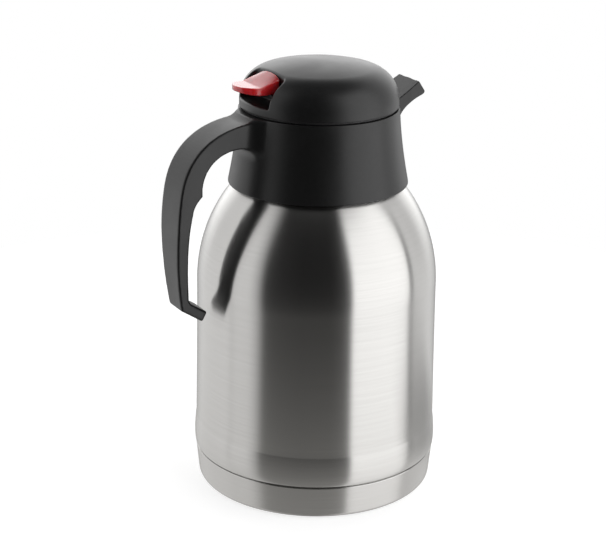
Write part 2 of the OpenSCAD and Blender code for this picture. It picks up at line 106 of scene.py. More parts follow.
def rounded(corners: Iterable[Point], steps: int = 5) -> list[Point]:
    """Rounds the corners of a closed outline.

    Args:
        corners: Points as (u, v) for a corner that stays sharp, or (u, v, radius).
        steps: Spans in each rounded corner.

    Returns:
        The outline with an arc at each corner that has a radius.
    """
    corners = list(corners)
    made: list[Point] = []
    for i, corner in enumerate(corners):
        here = np.array(corner[:2], float)
        if len(corner) < 3 or corner[2] <= 0:
            made.append(tuple(here))
            continue
        into = here - np.array(corners[i - 1][:2], float)
        out = np.array(corners[(i + 1) % len(corners)][:2], float) - here
        in_length, out_length = np.hypot(*into), np.hypot(*out)
        into, out = into / in_length, out / out_length
        turn = math.acos(float(np.clip(into @ out, -1, 1)))
        if turn < 1e-3:
            made.append(tuple(here))
            continue
        reach = min(corner[2] * math.tan(turn / 2), 0.49 * in_length, 0.49 * out_length)
        radius = reach / math.tan(turn / 2)
        side = math.copysign(1.0, into[0] * out[1] - into[1] * out[0])
        normal = np.array([-into[1], into[0]]) * side
        centre = here - into * reach + normal * radius
        for k in range(steps + 1):
            a = turn * k / steps
            made.append(tuple(centre - normal * radius * math.cos(a) + into * radius * math.sin(a)))
    return made


def moved(path: Sequence[Point], by: float) -> list[Point]:
    """Moves an open path sideways.

    Args:
        path: The path.
        by: Distance to the left of the direction of travel.

    Returns:
        The moved path.
    """
    points = np.asarray([p[:2] for p in path], float)
    along = np.gradient(points, axis=0)
    along /= np.hypot(along[:, 0], along[:, 1])[:, None]
    return [tuple(p) for p in points + by * np.stack([-along[:, 1], along[:, 0]], 1)]


@dataclass(frozen=True)
class Outline:
    """A closed outline in a plane."""

    points: tuple[Point, ...]

    @classmethod
    def of(cls, *paths: Iterable[Point]) -> "Outline":
        """Joins open paths, end to end, into one closed outline."""
        return cls(tuple(tuple(p[:2]) for path in paths for p in path))

    def flipped(self) -> "Outline":
        """The outline mirrored in its vertical axis."""
        return Outline(tuple((-u, v) for u, v in self.points))

    def chart(self, margin: float = 6.0, cells: float = 4e5) -> Callable[[Array, Array], Array]:
        """Charts the signed distance to the outline, negative inside.

        Args:
            margin: How far the chart reaches past the outline. Further out, it gives no more
                than the true distance.
            cells: How many places it holds.

        Returns:
            A function that reads the chart at places of the plane.
        """
        corners = np.asarray(self.points, float)
        low, high = corners.min(0) - margin, corners.max(0) + margin
        step = math.sqrt(float(np.prod(high - low)) / cells)
        count = np.ceil((high - low) / step).astype(int) + 1
        u, v = (low[a] + step * np.arange(count[a]) for a in (0, 1))
        flat = [g.ravel() for g in np.meshgrid(u, v, indexing="ij")]
        parts = np.array_split(np.arange(flat[0].size), max(flat[0].size // 50000, 1))
        table = np.concatenate([self._distance(flat[0][p], flat[1][p]) for p in parts])
        table = table.reshape(count)

        def read(at_u: Array, at_v: Array) -> Array:
            """Reads the chart between its places, and further out past its edge.

            Args:
                at_u: First coordinates.
                at_v: Second coordinates.

            Returns:
                The distances.
            """
            gu, gv = (at_u - low[0]) / step, (at_v - low[1]) / step
            cu, cv = np.clip(gu, 0, count[0] - 1.001), np.clip(gv, 0, count[1] - 1.001)
            iu, iv = cu.astype(int), cv.astype(int)
            fu, fv = cu - iu, cv - iv
            near = table[iu, iv] * (1 - fv) + table[iu, iv + 1] * fv
            far = table[iu + 1, iv] * (1 - fv) + table[iu + 1, iv + 1] * fv
            value = near * (1 - fu) + far * fu
            past = np.hypot(gu - cu, gv - cv) * step
            return np.where(past > 0.01 * step, np.hypot(value, past), value)

        return read

    def _distance(self, u: Array, v: Array) -> Array:
        """The signed distance for one batch of places.

        Args:
            u: First coordinates.
            v: Second coordinates.

        Returns:
            The distances.
        """
        best = np.full(u.shape, 1e12)
        inside = np.zeros(u.shape, bool)
        for (au, av), (bu, bv) in zip(self.points, self.points[1:] + self.points[:1]):
            eu, ev = bu - au, bv - av
            span = eu * eu + ev * ev
            if span < 1e-12:
                continue
            pu, pv = u - au, v - av
            t = np.clip((pu * eu + pv * ev) / span, 0.0, 1.0)
            gap = (pu - eu * t) ** 2 + (pv - ev * t) ** 2
            np.minimum(best, gap, out=best)
            above_a, below_b, left = v >= av, v < bv, eu * pv > ev * pu
            inside ^= (above_a & below_b & left) | ~(above_a | below_b | left)
        return np.where(inside, -1.0, 1.0) * np.sqrt(best)


# ---- solids as distance fields ---------------------------------------------------------


@dataclass(frozen=True)
class Solid:
    """A solid given by its signed distance, negative inside, with rounded joins."""

    at: Callable[[Array, Array, Array], Array]

    @classmethod
    def turned(cls, outline: Outline) -> "Solid":
        """An outline in radius and height, turned about the Z axis."""
        chart = outline.chart()
        return cls(lambda x, y, z: chart(np.hypot(x, y), z))

    @classmethod
    def across(cls, outline: Outline, half: float, edge: float = 0.0) -> "Solid":
        """A side view in X and Z, half as thick to each side, with rounded edges."""
        chart = outline.chart()
        return cls(lambda x, y, z: _slab(chart(x, z), np.abs(y) - half, edge))

    @classmethod
    def facing(cls, outline: Outline) -> "Solid":
        """A front view in Y and Z, endless along X."""
        chart = outline.chart()
        return cls(lambda x, y, z: chart(y, z))

    @classmethod
    def upright(cls, outline: Outline, low: float, high: float, edge: float = 0.0) -> "Solid":
        """A plan in X and Y between two heights, with rounded edges."""
        chart, middle, half = outline.chart(), (low + high) / 2, (high - low) / 2
        return cls(lambda x, y, z: _slab(chart(x, y), np.abs(z - middle) - half, edge))

    @classmethod
    def bar(cls, place: Point, radius: float, half: float, edge: float = 0.0) -> "Solid":
        """A round bar along Y at a place in X and Z."""
        return cls(
            lambda x, y, z: _slab(
                np.hypot(x - place[0], z - place[1]) - radius, np.abs(y) - half, edge
            )
        )

    def joined(self, other: "Solid", fillet: float = 0.0) -> "Solid":
        """This solid and another, with a fillet where they meet."""
        return Solid(lambda x, y, z: _round_min(self.at(x, y, z), other.at(x, y, z), fillet))

    def cut(self, other: "Solid", edge: float = 0.0) -> "Solid":
        """This solid less another, with rounded edges at the cut."""
        return Solid(lambda x, y, z: -_round_min(-self.at(x, y, z), other.at(x, y, z), edge))

    def within(self, other: "Solid", edge: float = 0.0) -> "Solid":
        """What this solid shares with another, with rounded edges."""
        return Solid(lambda x, y, z: -_round_min(-self.at(x, y, z), -other.at(x, y, z), edge))

    def slope(self, points: Array, step: float = 0.04) -> Array:
        """Outward direction of the distance at each point, not normalised.

        Args:
            points: One row for each point.
            step: How far out the distance is read.

        Returns:
            One row for each point.
        """
        made = np.zeros_like(points)
        for corner in ((1, 1, 1), (1, -1, -1), (-1, 1, -1), (-1, -1, 1)):
            way = np.array(corner, float)
            made += self.at(*(points + step * way).T)[:, None] * way
        return made / (4 * step)


def _slab(flat: Array, deep: Array, edge: float) -> Array:
    """Distance to a plate with rounded edges.

    Args:
        flat: Distance to its outline in plan.
        deep: Distance to its faces.
        edge: Radius of its edges.

    Returns:
        The distance.
    """
    flat, deep = flat + edge, deep + edge
    outside = np.hypot(np.maximum(flat, 0.0), np.maximum(deep, 0.0))
    return np.minimum(np.maximum(flat, deep), 0.0) + outside - edge


def _round_min(a: Array, b: Array, radius: float) -> Array:
    """The smaller of two distances, with a round fillet between their surfaces.

    Args:
        a: First distance.
        b: Second distance.
        radius: Radius of the fillet.

    Returns:
        The distance.
    """
    if radius <= 0:
        return np.minimum(a, b)
    near = np.hypot(np.maximum(radius - a, 0.0), np.maximum(radius - b, 0.0))
    return np.maximum(radius, np.minimum(a, b)) - near


def spaced(start: float, *zones: Point) -> Array:
    """Sample places along one direction.

    Args:
        start: First place.
        zones: Pairs of (end of the zone, step inside it).

    Returns:
        The places, in order.
    """
    made = [np.array([start])]
    for end, step in zones:
        begin = float(made[-1][-1])
        count = max(int(round((end - begin) / step)), 1)
        made.append(np.linspace(begin, end, count + 1)[1:])
    return np.concatenate(made)


@dataclass(frozen=True)
class Lattice:
    """Sample places in three directions: X, Y, Z, or degrees round Z, radius and Z."""

    first: Array
    second: Array
    third: Array
    wound: bool = False
    block: int = 4

    def place(self, u: Array, v: Array, w: Array) -> Array:
        """Points in space of places in the lattice.

        Args:
            u: X, or degrees round Z.
            v: Y, or radius.
            w: Z.

        Returns:
            One row for each point.
        """
        if not self.wound:
            return np.stack([u, v, w], 1)
        turn = np.radians(u)
        return np.stack([v * np.cos(turn), v * np.sin(turn), w], 1)

    def sample(self, solid: Solid) -> Array:
        """Distances on the lattice, exact only near the skin of the solid.

        Args:
            solid: The solid to sample.

        Returns:
            One distance for each place of the lattice.
        """
        nodes = (self.first, self.second, self.third)
        starts = [np.arange(0, len(n) - 1, self.block) for n in nodes]
        ends = [np.minimum(s + self.block, len(n) - 1) for s, n in zip(starts, nodes)]
        middles = [(n[a] + n[b]) / 2 for n, a, b in zip(nodes, starts, ends)]
        halves = [(n[b] - n[a]) / 2 for n, a, b in zip(nodes, starts, ends)]
        if self.wound:
            halves[0] = np.radians(halves[0]) * self.second[-1]
        grid = np.meshgrid(*middles, indexing="ij")
        reach = np.sqrt(sum(h**2 for h in np.meshgrid(*halves, indexing="ij")))
        coarse = solid.at(*self.place(*(g.ravel() for g in grid)).T).reshape(reach.shape)
        near = np.abs(coarse) <= 1.15 * reach + 0.2
        values = np.sign(coarse)
        for axis, node in enumerate(nodes):
            block_of = np.minimum(np.arange(len(node)) // self.block, values.shape[axis] - 1)
            values = np.take(values, block_of, axis=axis)
        values = values * 1e3
        wanted = np.zeros(values.shape, bool)
        for i, j, k in np.argwhere(near):
            wanted[
                starts[0][i] : ends[0][i] + 1,
                starts[1][j] : ends[1][j] + 1,
                starts[2][k] : ends[2][k] + 1,
            ] = True
        at = np.argwhere(wanted)
        points = self.place(*(n[at[:, a]] for a, n in enumerate(nodes)))
        values[wanted] = solid.at(*points.T)
        return values


def skin(solid: Solid, lattice: Lattice) -> tuple[Array, Array, Array]:
    """Draws the skin of a solid as a mesh of quads.

    Each lattice cell that the skin crosses gets one point, which then moves along the slope
    of the distance until it lies on the skin.

    Args:
        solid: The solid.
        lattice: Where it is sampled. It encloses the solid.

    Returns:
        The points, their outward normals and the quads, as indices of points.
    """
    values = lattice.sample(solid)
    nodes = (lattice.first, lattice.second, lattice.third)
    inside = values < 0
    cells = tuple(n - 1 for n in values.shape)
    corner_shift = [(i, j, k) for i in (0, 1) for j in (0, 1) for k in (0, 1)]
    filled = sum(
        inside[i : i + cells[0], j : j + cells[1], k : k + cells[2]].astype(np.int8)
        for i, j, k in corner_shift
    )
    crossed = (filled > 0) & (filled < 8)
    at = np.argwhere(crossed)
    name = np.full(cells, -1, np.int64)
    name[crossed] = np.arange(len(at))
    total, count = np.zeros((len(at), 3)), np.zeros(len(at))
    for low in corner_shift:
        for axis in range(3):
            if low[axis]:
                continue
            high = tuple(c + (a == axis) for a, c in enumerate(low))
            first, second = at + low, at + high
            f0, f1 = values[tuple(first.T)], values[tuple(second.T)]
            cross = (f0 < 0) != (f1 < 0)
            t = np.where(cross, f0 / np.where(cross, f0 - f1, 1.0), 0.0)
            for a, n in enumerate(nodes):
                start, end = n[first[:, a]], n[second[:, a]]
                total[:, a] += np.where(cross, start + (end - start) * t, 0.0)
            count += cross
    points = lattice.place(*(total / count[:, None]).T)
    for _ in range(3):
        slope = solid.slope(points)
        size = np.maximum((slope**2).sum(1), 0.25)
        push = np.clip(solid.at(*points.T) / size, -0.5, 0.5)
        points = points - slope * push[:, None]
    normals = solid.slope(points, 0.12)
    normals /= np.maximum(np.linalg.norm(normals, axis=1), 1e-9)[:, None]
    quads = _quads(inside, name, lattice.wound)
    across = np.cross(
        points[quads[:, 2]] - points[quads[:, 0]], points[quads[:, 3]] - points[quads[:, 1]]
    )
    wrong = (across * normals[quads].sum(1)).sum(1) < 0
    quads[wrong] = quads[wrong][:, ::-1]
    return points, normals, quads


def _quads(inside: Array, name: Array, wound: bool) -> Array:
    """The quads round every lattice edge that the skin crosses.

    Args:
        inside: Which places of the lattice are inside the solid.
        name: The point of each lattice cell, or -1.
        wound: Whether the first direction closes on itself.

    Returns:
        The quads, as indices of points.
    """
    made = []
    for axis in range(3):
        near = [slice(None)] * 3
        far = [slice(None)] * 3
        near[axis], far[axis] = slice(0, -1), slice(1, None)
        edges = np.argwhere(inside[tuple(near)] != inside[tuple(far)])
        one, two = [a for a in range(3) if a != axis]
        ring = []
        keep = np.ones(len(edges), bool)
        for back_one, back_two in ((1, 1), (0, 1), (0, 0), (1, 0)):
            cell = edges.copy()
            cell[:, one] -= back_one
            cell[:, two] -= back_two
            if wound:
                cell[:, 0] %= name.shape[0]
            fits = ((cell >= 0) & (cell < name.shape)).all(1)
            keep &= fits
            cell[~fits] = 0
            ring.append(name[tuple(cell.T)])
        if wound and axis != 0:
            keep &= edges[:, 0] < name.shape[0]
        ring = np.stack(ring, 1)[keep]
        made.append(ring[(ring >= 0).all(1)])
    return np.concatenate(made)


# ---- meshes ----------------------------------------------------------------------------


def as_object(
    name: str,
    points: Array,
    faces: Sequence[Sequence[int]],
    normals: Optional[Array] = None,
    corner_normals: Optional[Array] = None,
) -> bpy.types.Object:
    """Makes a smooth mesh object from points in millimetres.

    Args:
        name: Name of the piece.
        points: One row for each point.
        faces: Indices of points, one list for each face.
        normals: Outward direction at each point, if known.
        corner_normals: Outward direction at each corner of each face, if known.

    Returns:
        The object, linked to the scene.
    """
    mesh = bpy.data.meshes.new(name)
    mesh.from_pydata(points * MM, [], [list(map(int, f)) for f in faces])
    mesh.update()
    mesh.shade_smooth()
    if normals is not None:
        mesh.normals_split_custom_set_from_vertices(normals.tolist())
    if corner_normals is not None:
        mesh.normals_split_custom_set(corner_normals.tolist())
    made = bpy.data.objects.new(name, mesh)
    bpy.context.scene.collection.objects.link(made)
    return made


def moulded(name: str, solid: Solid, lattice: Lattice) -> bpy.types.Object:
    """Makes an object from the skin of a solid.

    Args:
        name: Name of the piece.
        solid: The solid.
        lattice: Where it is sampled.

    Returns:
        The object, closed, with exact normals.
    """
    points, normals, quads = skin(solid, lattice)
    faces = quads.tolist()
    for rim in _open_rims(quads):
        across = np.mean(normals[rim], axis=0)
        start, after = points[rim[0]], points[rim[1]]
        middle = points[rim].mean(0)
        if np.cross(start - middle, after - middle) @ across < 0:
            rim = rim[::-1]
        faces.append(rim)
    return as_object(name, points, faces, normals=normals)


def _open_rims(quads: Array) -> list[list[int]]:
    """The loops of points round holes in a mesh, such as where it meets the Z axis.

    Args:
        quads: The faces.

    Returns:
        The points of each loop, in order.
    """
    ends = np.concatenate([quads[:, [i, (i + 1) % 4]] for i in range(4)])
    keys, index, counts = np.unique(
        np.sort(ends, axis=1), axis=0, return_index=True, return_counts=True
    )
    loose = ends[index[counts == 1]]
    after = {int(b): int(a) for a, b in loose}
    rims = []
    while after:
        start, here = after.popitem()
        rim = [start]
        while here != start and here in after:
            rim.append(here)
            here = after.pop(here)
        if here == start and len(rim) > 2:
            rims.append(rim)
    return rims


def turned_mesh(
    name: str, outline: Sequence[Point], sides: int = 192, sharp: float = 38.0
) -> bpy.types.Object:
    """Turns a closed outline in radius and height about the Z axis.

    Args:
        name: Name of the piece.
        outline: The outline, in either direction.
        sides: Number of sides round the axis.
        sharp: Corners of the outline that turn further than this many degrees stay sharp.

    Returns:
        The object, with normals taken from the outline.
    """
    path = np.array([p[:2] for p in outline], float)
    following = np.roll(path, -1, 0)
    if (path[:, 0] * following[:, 1] - following[:, 0] * path[:, 1]).sum() < 0:
        path = path[::-1].copy()
        following = np.roll(path, -1, 0)
    span = following - path
    length = np.hypot(span[:, 0], span[:, 1])
    out = np.stack([span[:, 1], -span[:, 0]], 1) / np.maximum(length, 1e-9)[:, None]
    before = np.roll(out, 1, 0)
    joint = out * length[:, None] + before * np.roll(length, 1)[:, None]
    joint /= np.maximum(np.hypot(joint[:, 0], joint[:, 1]), 1e-9)[:, None]
    crisp = (out * before).sum(1) < math.cos(math.radians(sharp))
    at_start = np.where(crisp[:, None], out, joint)
    at_end = np.where(np.roll(crisp, -1)[:, None], out, np.roll(joint, -1, 0))

    turn = np.arange(sides) * 2 * math.pi / sides
    points: list[Point] = []
    rings: list[list[int]] = []
    for r, z in path:
        if r < 1e-6:
            rings.append([len(points)] * sides)
            points.append((0.0, 0.0, z))
        else:
            rings.append(list(range(len(points), len(points) + sides)))
            points.extend((r * math.cos(a), r * math.sin(a), z) for a in turn)
    faces: list[list[int]] = []
    corner_normals: list[Point] = []
    for j in range(len(path)):
        low, high = rings[j], rings[(j + 1) % len(path)]
        if low[0] == low[-1] and high[0] == high[-1]:
            continue
        for s in range(sides):
            t = (s + 1) % sides
            corners = [(low[s], s, at_start[j]), (low[t], t, at_start[j])]
            corners += [(high[t], t, at_end[j]), (high[s], s, at_end[j])]
            unique = [c for i, c in enumerate(corners) if c[0] != corners[i - 1][0]]
            faces.append([c[0] for c in unique])
            for _, k, n in unique:
                corner_normals.append((n[0] * math.cos(turn[k]), n[0] * math.sin(turn[k]), n[1]))
    return as_object(name, np.array(points), faces, corner_normals=np.array(corner_normals))


def tube(name: str, path: Array, radius: float, sides: int = 14) -> bpy.types.Object:
    """Draws a round wire along a path.

    Args:
        name: Name of the piece.
        path: Points of the centre line.
        radius: Radius of the wire.
        sides: Number of sides round the wire.

    Returns:
        The object, with rounded ends.
    """
    along = np.gradient(path, axis=0)
    along /= np.linalg.norm(along, axis=1)[:, None]
    flat = np.cross(along, [0.0, 0.0, 1.0])
    flat /= np.linalg.norm(flat, axis=1)[:, None]
    rise = np.cross(flat, along)
    steps = [(-0.8, 0.3), (-0.5, 0.75), (0.0, 1.0)]
    stations = [(0, back, size) for back, size in steps]
    stations += [(i, 0.0, 1.0) for i in range(1, len(path) - 1)]
    stations += [(len(path) - 1, -back, size) for back, size in reversed(steps)]
    turn = np.arange(sides) * 2 * math.pi / sides
    points = []
    for i, ahead, size in stations:
        middle = path[i] + along[i] * ahead * radius
        for a in turn:
            points.append(
                middle + radius * size * (flat[i] * math.cos(a) + rise[i] * math.sin(a))
            )
    faces = [list(range(sides))[::-1]]
    for i in range(len(stations) - 1):
        for j in range(sides):
            k = (j + 1) % sides
            faces.append([i * sides + j, i * sides + k, (i + 1) * sides + k, (i + 1) * sides + j])
    last = (len(stations) - 1) * sides
    faces.append(list(range(last, last + sides)))
    return as_object(name, np.array(points), faces)


# ---- finishes --------------------------------------------------------------------------


class Nodes:
    """The nodes of a material or a world while they are being set out."""

    def __init__(self, tree: bpy.types.NodeTree) -> None:
        """Empties the tree.

        Args:
            tree: The tree that takes the nodes.
        """
        self.tree = tree
        tree.nodes.clear()

    def feed(self, socket: bpy.types.NodeSocket, value: object) -> None:
        """Links a socket to another, or gives it a plain value."""
        if isinstance(value, bpy.types.NodeSocket):
            self.tree.links.new(value, socket)
        else:
            socket.default_value = value

    def add(
        self, kind: str, inputs: Optional[dict] = None, **settings: object
    ) -> bpy.types.Node:
        """Adds a node.

        Args:
            kind: Its type.
            inputs: Values or sockets for its inputs, by name or number.
            settings: Its own settings.

        Returns:
            The node.
        """
        node = self.tree.nodes.new(kind)
        for key, value in settings.items():
            setattr(node, key, value)
        for key, value in (inputs or {}).items():
            self.feed(node.inputs[key], value)
        return node

    def math(self, operation: str, *values: object) -> bpy.types.NodeSocket:
        """The result of one sum, from numbers or sockets."""
        return self.add("ShaderNodeMath", dict(enumerate(values)), operation=operation).outputs[0]

    def spread(
        self,
        value: bpy.types.NodeSocket,
        low: float,
        high: float,
        least: float = 0.0,
        most: float = 1.0,
    ) -> bpy.types.NodeSocket:
        """Maps a value from low..high to least..most.

        Args:
            value: The value.
            low: Where it gives least.
            high: Where it gives most.
            least: First end of the new range.
            most: Other end of the new range.

        Returns:
            The mapped value.
        """
        ends = {"Value": value, 1: low, 2: high, 3: least, 4: most}
        return self.add("ShaderNodeMapRange", ends).outputs["Result"]

    def tint(
        self, first: object, second: object, share: object = 1.0, blend: str = "MIX"
    ) -> bpy.types.NodeSocket:
        """Blends two colours, each four numbers or a socket.

        Args:
            first: First colour.
            second: Second colour.
            share: How much of the blend there is.
            blend: The way of blending.

        Returns:
            The colour.
        """
        inputs = {0: share, 6: first, 7: second}
        node = self.add("ShaderNodeMix", inputs, data_type="RGBA", blend_type=blend)
        return node.outputs[2]

    def either(self, share: object, first: object, second: object) -> bpy.types.NodeSocket:
        """One of two shaders, or a share of each."""
        return self.add("ShaderNodeMixShader", {0: share, 1: first, 2: second}).outputs[0]

    def ramp(self, value: bpy.types.NodeSocket, stops: Sequence[Point]) -> bpy.types.NodeSocket:
        """A grey level that follows a value.

        Args:
            value: The value, between 0 and 1.
            stops: Pairs of (value, level), 32 at most.

        Returns:
            The level, as a colour.
        """
        node = self.add("ShaderNodeValToRGB", {"Fac": value})
        elements = node.color_ramp.elements
        while len(elements) < len(stops):
            elements.new(0.5)
        for element, (place, level) in zip(elements, sorted(stops)):
            element.position = place
            element.color = (level, level, level, 1.0)
        return node.outputs["Color"]

    def seen(self) -> bpy.types.NodeSocket:
        """One for what the camera sees, straight or through glass, and zero for other rays."""
        rays = self.add("ShaderNodeLightPath").outputs
        return self.math("MAXIMUM", rays["Is Camera Ray"], rays["Is Transmission Ray"])


class Shader(Nodes):
    """A material while its nodes are being set out."""

    def __init__(self, name: str) -> None:
        """Starts an empty material with a Principled shader.

        Args:
            name: Name of the material.
        """
        self.material = bpy.data.materials.new(name)
        self.material.use_nodes = True
        super().__init__(self.material.node_tree)
        self.surface = self.add("ShaderNodeBsdfPrincipled")
        self.output = self.add(
            "ShaderNodeOutputMaterial", {"Surface": self.surface.outputs["BSDF"]}
        )
        self.where = self.add("ShaderNodeTexCoord").outputs["Object"]

    def set(self, **values: object) -> None:
        """Sets inputs of the Principled shader; an underscore in a name stands for a space."""
        for key, value in values.items():
            self.feed(self.surface.inputs[key.replace("_", " ")], value)

    def noise(
        self, per_mm: Point, detail: float = 2.0, rough: float = 0.5, warp: float = 0.0
    ) -> bpy.types.NodeSocket:
        """Cloudy noise between 0 and 1.

        Args:
            per_mm: How many features it has in a millimetre, along X, Y and Z.
            detail: Number of finer layers.
            rough: Strength of the finer layers.
            warp: How far the noise bends its own pattern.

        Returns:
            The value.
        """
        scale = tuple(1000.0 * s for s in per_mm)
        place = self.add("ShaderNodeMapping", {"Vector": self.where, "Scale": scale})
        node = self.add(
            "ShaderNodeTexNoise",
            {
                "Vector": place.outputs["Vector"],
                "Scale": 1.0,
                "Detail": detail,
                "Roughness": rough,
                "Distortion": warp,
            },
        )
        return node.outputs["Fac"]

    def between(
        self, share: bpy.types.NodeSocket, first: Point, second: Point
    ) -> bpy.types.NodeSocket:
        """Mixes two colours.

        Args:
            share: How much of the second colour there is.
            first: First colour, as three numbers.
            second: Second colour, as three numbers.

        Returns:
            The colour.
        """
        return self.tint((*first, 1.0), (*second, 1.0), share)

    def bumps(self, *layers: tuple[bpy.types.NodeSocket, float]) -> None:
        """Stacks bump layers on the surface, each a height from 0 to 1 and its depth in mm."""
        normal = None
        for height, depth in layers:
            inputs = {"Height": height, "Strength": 1.0, "Distance": depth * MM}
            if normal is not None:
                inputs["Normal"] = normal
            normal = self.add("ShaderNodeBump", inputs).outputs["Normal"]
        self.set(Normal=normal)


@dataclass(frozen=True)
class BrushedSteel:
    """Stainless steel brushed round the Z axis, so that its reflections run up and down."""

    name: str
    light: Point = (0.527, 0.52, 0.508)
    shade: Point = (0.504, 0.497, 0.485)
    rough: float = 0.24
    anisotropy: float = 0.95
    stroke_depth: float = 0.0005

    def make(self) -> bpy.types.Material:
        """Sets out the nodes and returns the material."""
        s = Shader(self.name)
        fine = s.noise((0.012, 0.012, 9.0), detail=3.0, rough=0.6)
        wide = s.noise((0.02, 0.02, 1.6), detail=2.0)
        cloud = s.noise((0.02, 0.02, 0.012), detail=2.0, warp=0.4)
        tone = s.spread(wide, 0.3, 0.7)
        s.set(Base_Color=s.between(tone, self.shade, self.light), Metallic=1.0)
        worn = s.spread(fine, 0.3, 0.7, -0.012, 0.012)
        painted_reflection = s.spread(cloud, 0.35, 0.7, self.rough - 0.01, self.rough + 0.015)
        s.set(Roughness=s.math("ADD", worn, painted_reflection))
        s.set(Anisotropic=self.anisotropy, Anisotropic_Rotation=0.25)
        tangent = s.add("ShaderNodeTangent", direction_type="RADIAL", axis="Z")
        s.set(Tangent=tangent.outputs["Tangent"])
        s.bumps((fine, self.stroke_depth))
        return s.material


@dataclass(frozen=True)
class PlainSteel:
    """Drawn or electropolished steel with a soft, even shine."""

    name: str
    colour: Point = (0.62, 0.61, 0.59)
    rough: float = 0.24

    def make(self) -> bpy.types.Material:
        """Sets out the nodes and returns the material."""
        s = Shader(self.name)
        cloud = s.noise((0.06, 0.06, 0.06), detail=4.0, warp=0.5)
        grain = s.noise((2.5, 2.5, 2.5), detail=2.0)
        darker = tuple(0.86 * c for c in self.colour)
        s.set(Base_Color=s.between(s.spread(cloud, 0.3, 0.7), self.colour, darker))
        s.set(Metallic=1.0)
        s.set(Roughness=s.spread(cloud, 0.3, 0.75, self.rough - 0.05, self.rough + 0.07))
        s.bumps((grain, 0.003))
        return s.material


@dataclass(frozen=True)
class MouldedPlastic:
    """Plastic with the fine grain of its mould, rubbed a little smoother in patches."""

    name: str
    colour: Point = (0.008, 0.008, 0.0082)
    rough: float = 0.36
    grain_depth: float = 0.006
    grain_per_mm: float = 2.2

    def make(self) -> bpy.types.Material:
        """Sets out the nodes and returns the material."""
        s = Shader(self.name)
        g = self.grain_per_mm
        grain = s.noise((g, g, g), detail=2.0, rough=0.55)
        specks = s.noise((0.35, 0.35, 0.35), detail=4.0, rough=0.7)
        rubbed = s.noise((0.03, 0.03, 0.03), detail=3.0, warp=0.6)
        lighter = tuple(1.3 * c + 0.001 for c in self.colour)
        tone = s.spread(specks, 0.35, 0.75)
        s.set(Base_Color=s.between(tone, self.colour, lighter))
        s.set(Roughness=s.spread(rubbed, 0.3, 0.7, self.rough - 0.04, self.rough + 0.05))
        s.set(Specular_IOR_Level=0.46)
        s.bumps((grain, self.grain_depth), (specks, self.grain_depth * 1.5))
        return s.material


@dataclass(frozen=True)
class GlossPlastic:
    """Polished coloured plastic, with a trace of flow in its skin."""

    name: str
    colour: Point = (0.68, 0.03, 0.04)
    rough: float = 0.23

    def make(self) -> bpy.types.Material:
        """Sets out the nodes and returns the material."""
        s = Shader(self.name)
        flow = s.noise((0.08, 0.08, 0.08), detail=2.0, warp=0.8)
        fine = s.noise((1.6, 1.6, 1.6), detail=3.0)
        deeper = tuple(0.8 * c for c in self.colour)
        s.set(Base_Color=s.between(s.spread(flow, 0.3, 0.7), self.colour, deeper))
        s.set(Roughness=s.spread(fine, 0.3, 0.7, self.rough - 0.03, self.rough + 0.04))
        s.set(Coat_Weight=0.5, Coat_Roughness=0.16)
        s.set(Subsurface_Weight=0.8, Subsurface_Radius=(1.0, 0.2, 0.15), Subsurface_Scale=0.008)
        s.bumps((fine, 0.0015), (flow, 0.03))
        return s.material


@dataclass(frozen=True)
class SoftRubber:
    """Rubber or silicone with a dull, slightly dusty skin."""

    name: str
    colour: Point
    rough: float = 0.6
    glow: float = 0.0

    def make(self) -> bpy.types.Material:
        """Sets out the nodes and returns the material."""
        s = Shader(self.name)
        dust = s.noise((0.5, 0.5, 0.5), detail=4.0, rough=0.65)
        grain = s.noise((3.0, 3.0, 3.0), detail=1.0)
        dusty = tuple(0.85 * c + 0.02 for c in self.colour)
        s.set(Base_Color=s.between(s.spread(dust, 0.4, 0.75), self.colour, dusty))
        s.set(Roughness=s.spread(dust, 0.3, 0.7, self.rough - 0.06, self.rough + 0.08))
        s.set(Subsurface_Weight=self.glow, Subsurface_Radius=(0.002, 0.002, 0.0018))
        s.bumps((grain, 0.004))
        return s.material


class Finish(Enum):
    """The finishes of the carafe, by the material slots of the record."""

    BODY_STEEL = "steel_body"
    FLASK_STEEL = "steel_inside"
    SCREW_STEEL = "screw_steel"
    BLACK = "black_plastic"
    INNER = "inner_plastic"
    RED = "red_plastic"
    SILICONE = "silicone"
    FOOT = "foot_rubber"


RECIPES = {
    Finish.BODY_STEEL: BrushedSteel("brushed_body_steel"),
    Finish.FLASK_STEEL: PlainSteel("flask_steel"),
    Finish.SCREW_STEEL: PlainSteel("screw_steel", colour=(0.55, 0.54, 0.52), rough=0.3),
    Finish.BLACK: MouldedPlastic("black_moulding"),
    Finish.INNER: MouldedPlastic("inner_moulding", colour=(0.03, 0.03, 0.032), rough=0.5),
    Finish.RED: GlossPlastic("red_lever"),
    Finish.SILICONE: SoftRubber("silicone", colour=(0.62, 0.61, 0.57), rough=0.45, glow=0.1),
    Finish.FOOT: SoftRubber("foot_rubber", colour=(0.03, 0.03, 0.03), rough=0.7),
}


class Palette:
    """Makes each finish once and puts it on pieces."""

    def __init__(self) -> None:
        """Starts with no finish made."""
        self._made: dict[Finish, bpy.types.Material] = {}

    def material(self, finish: Finish) -> bpy.types.Material:
        """The material of a finish, made when it is first asked for."""
        if finish not in self._made:
            self._made[finish] = RECIPES[finish].make()
        return self._made[finish]

    def dress(self, piece: bpy.types.Object, finish: Finish) -> None:
        """Gives every slot of a piece one finish.

        Args:
            piece: A new piece or a CAD node.
            finish: Its finish.
        """
        if not piece.data.materials:
            piece.data.materials.append(None)
        for slot in piece.material_slots:
            slot.material = self.material(finish)


# ---- the jug ---------------------------------------------------------------------------


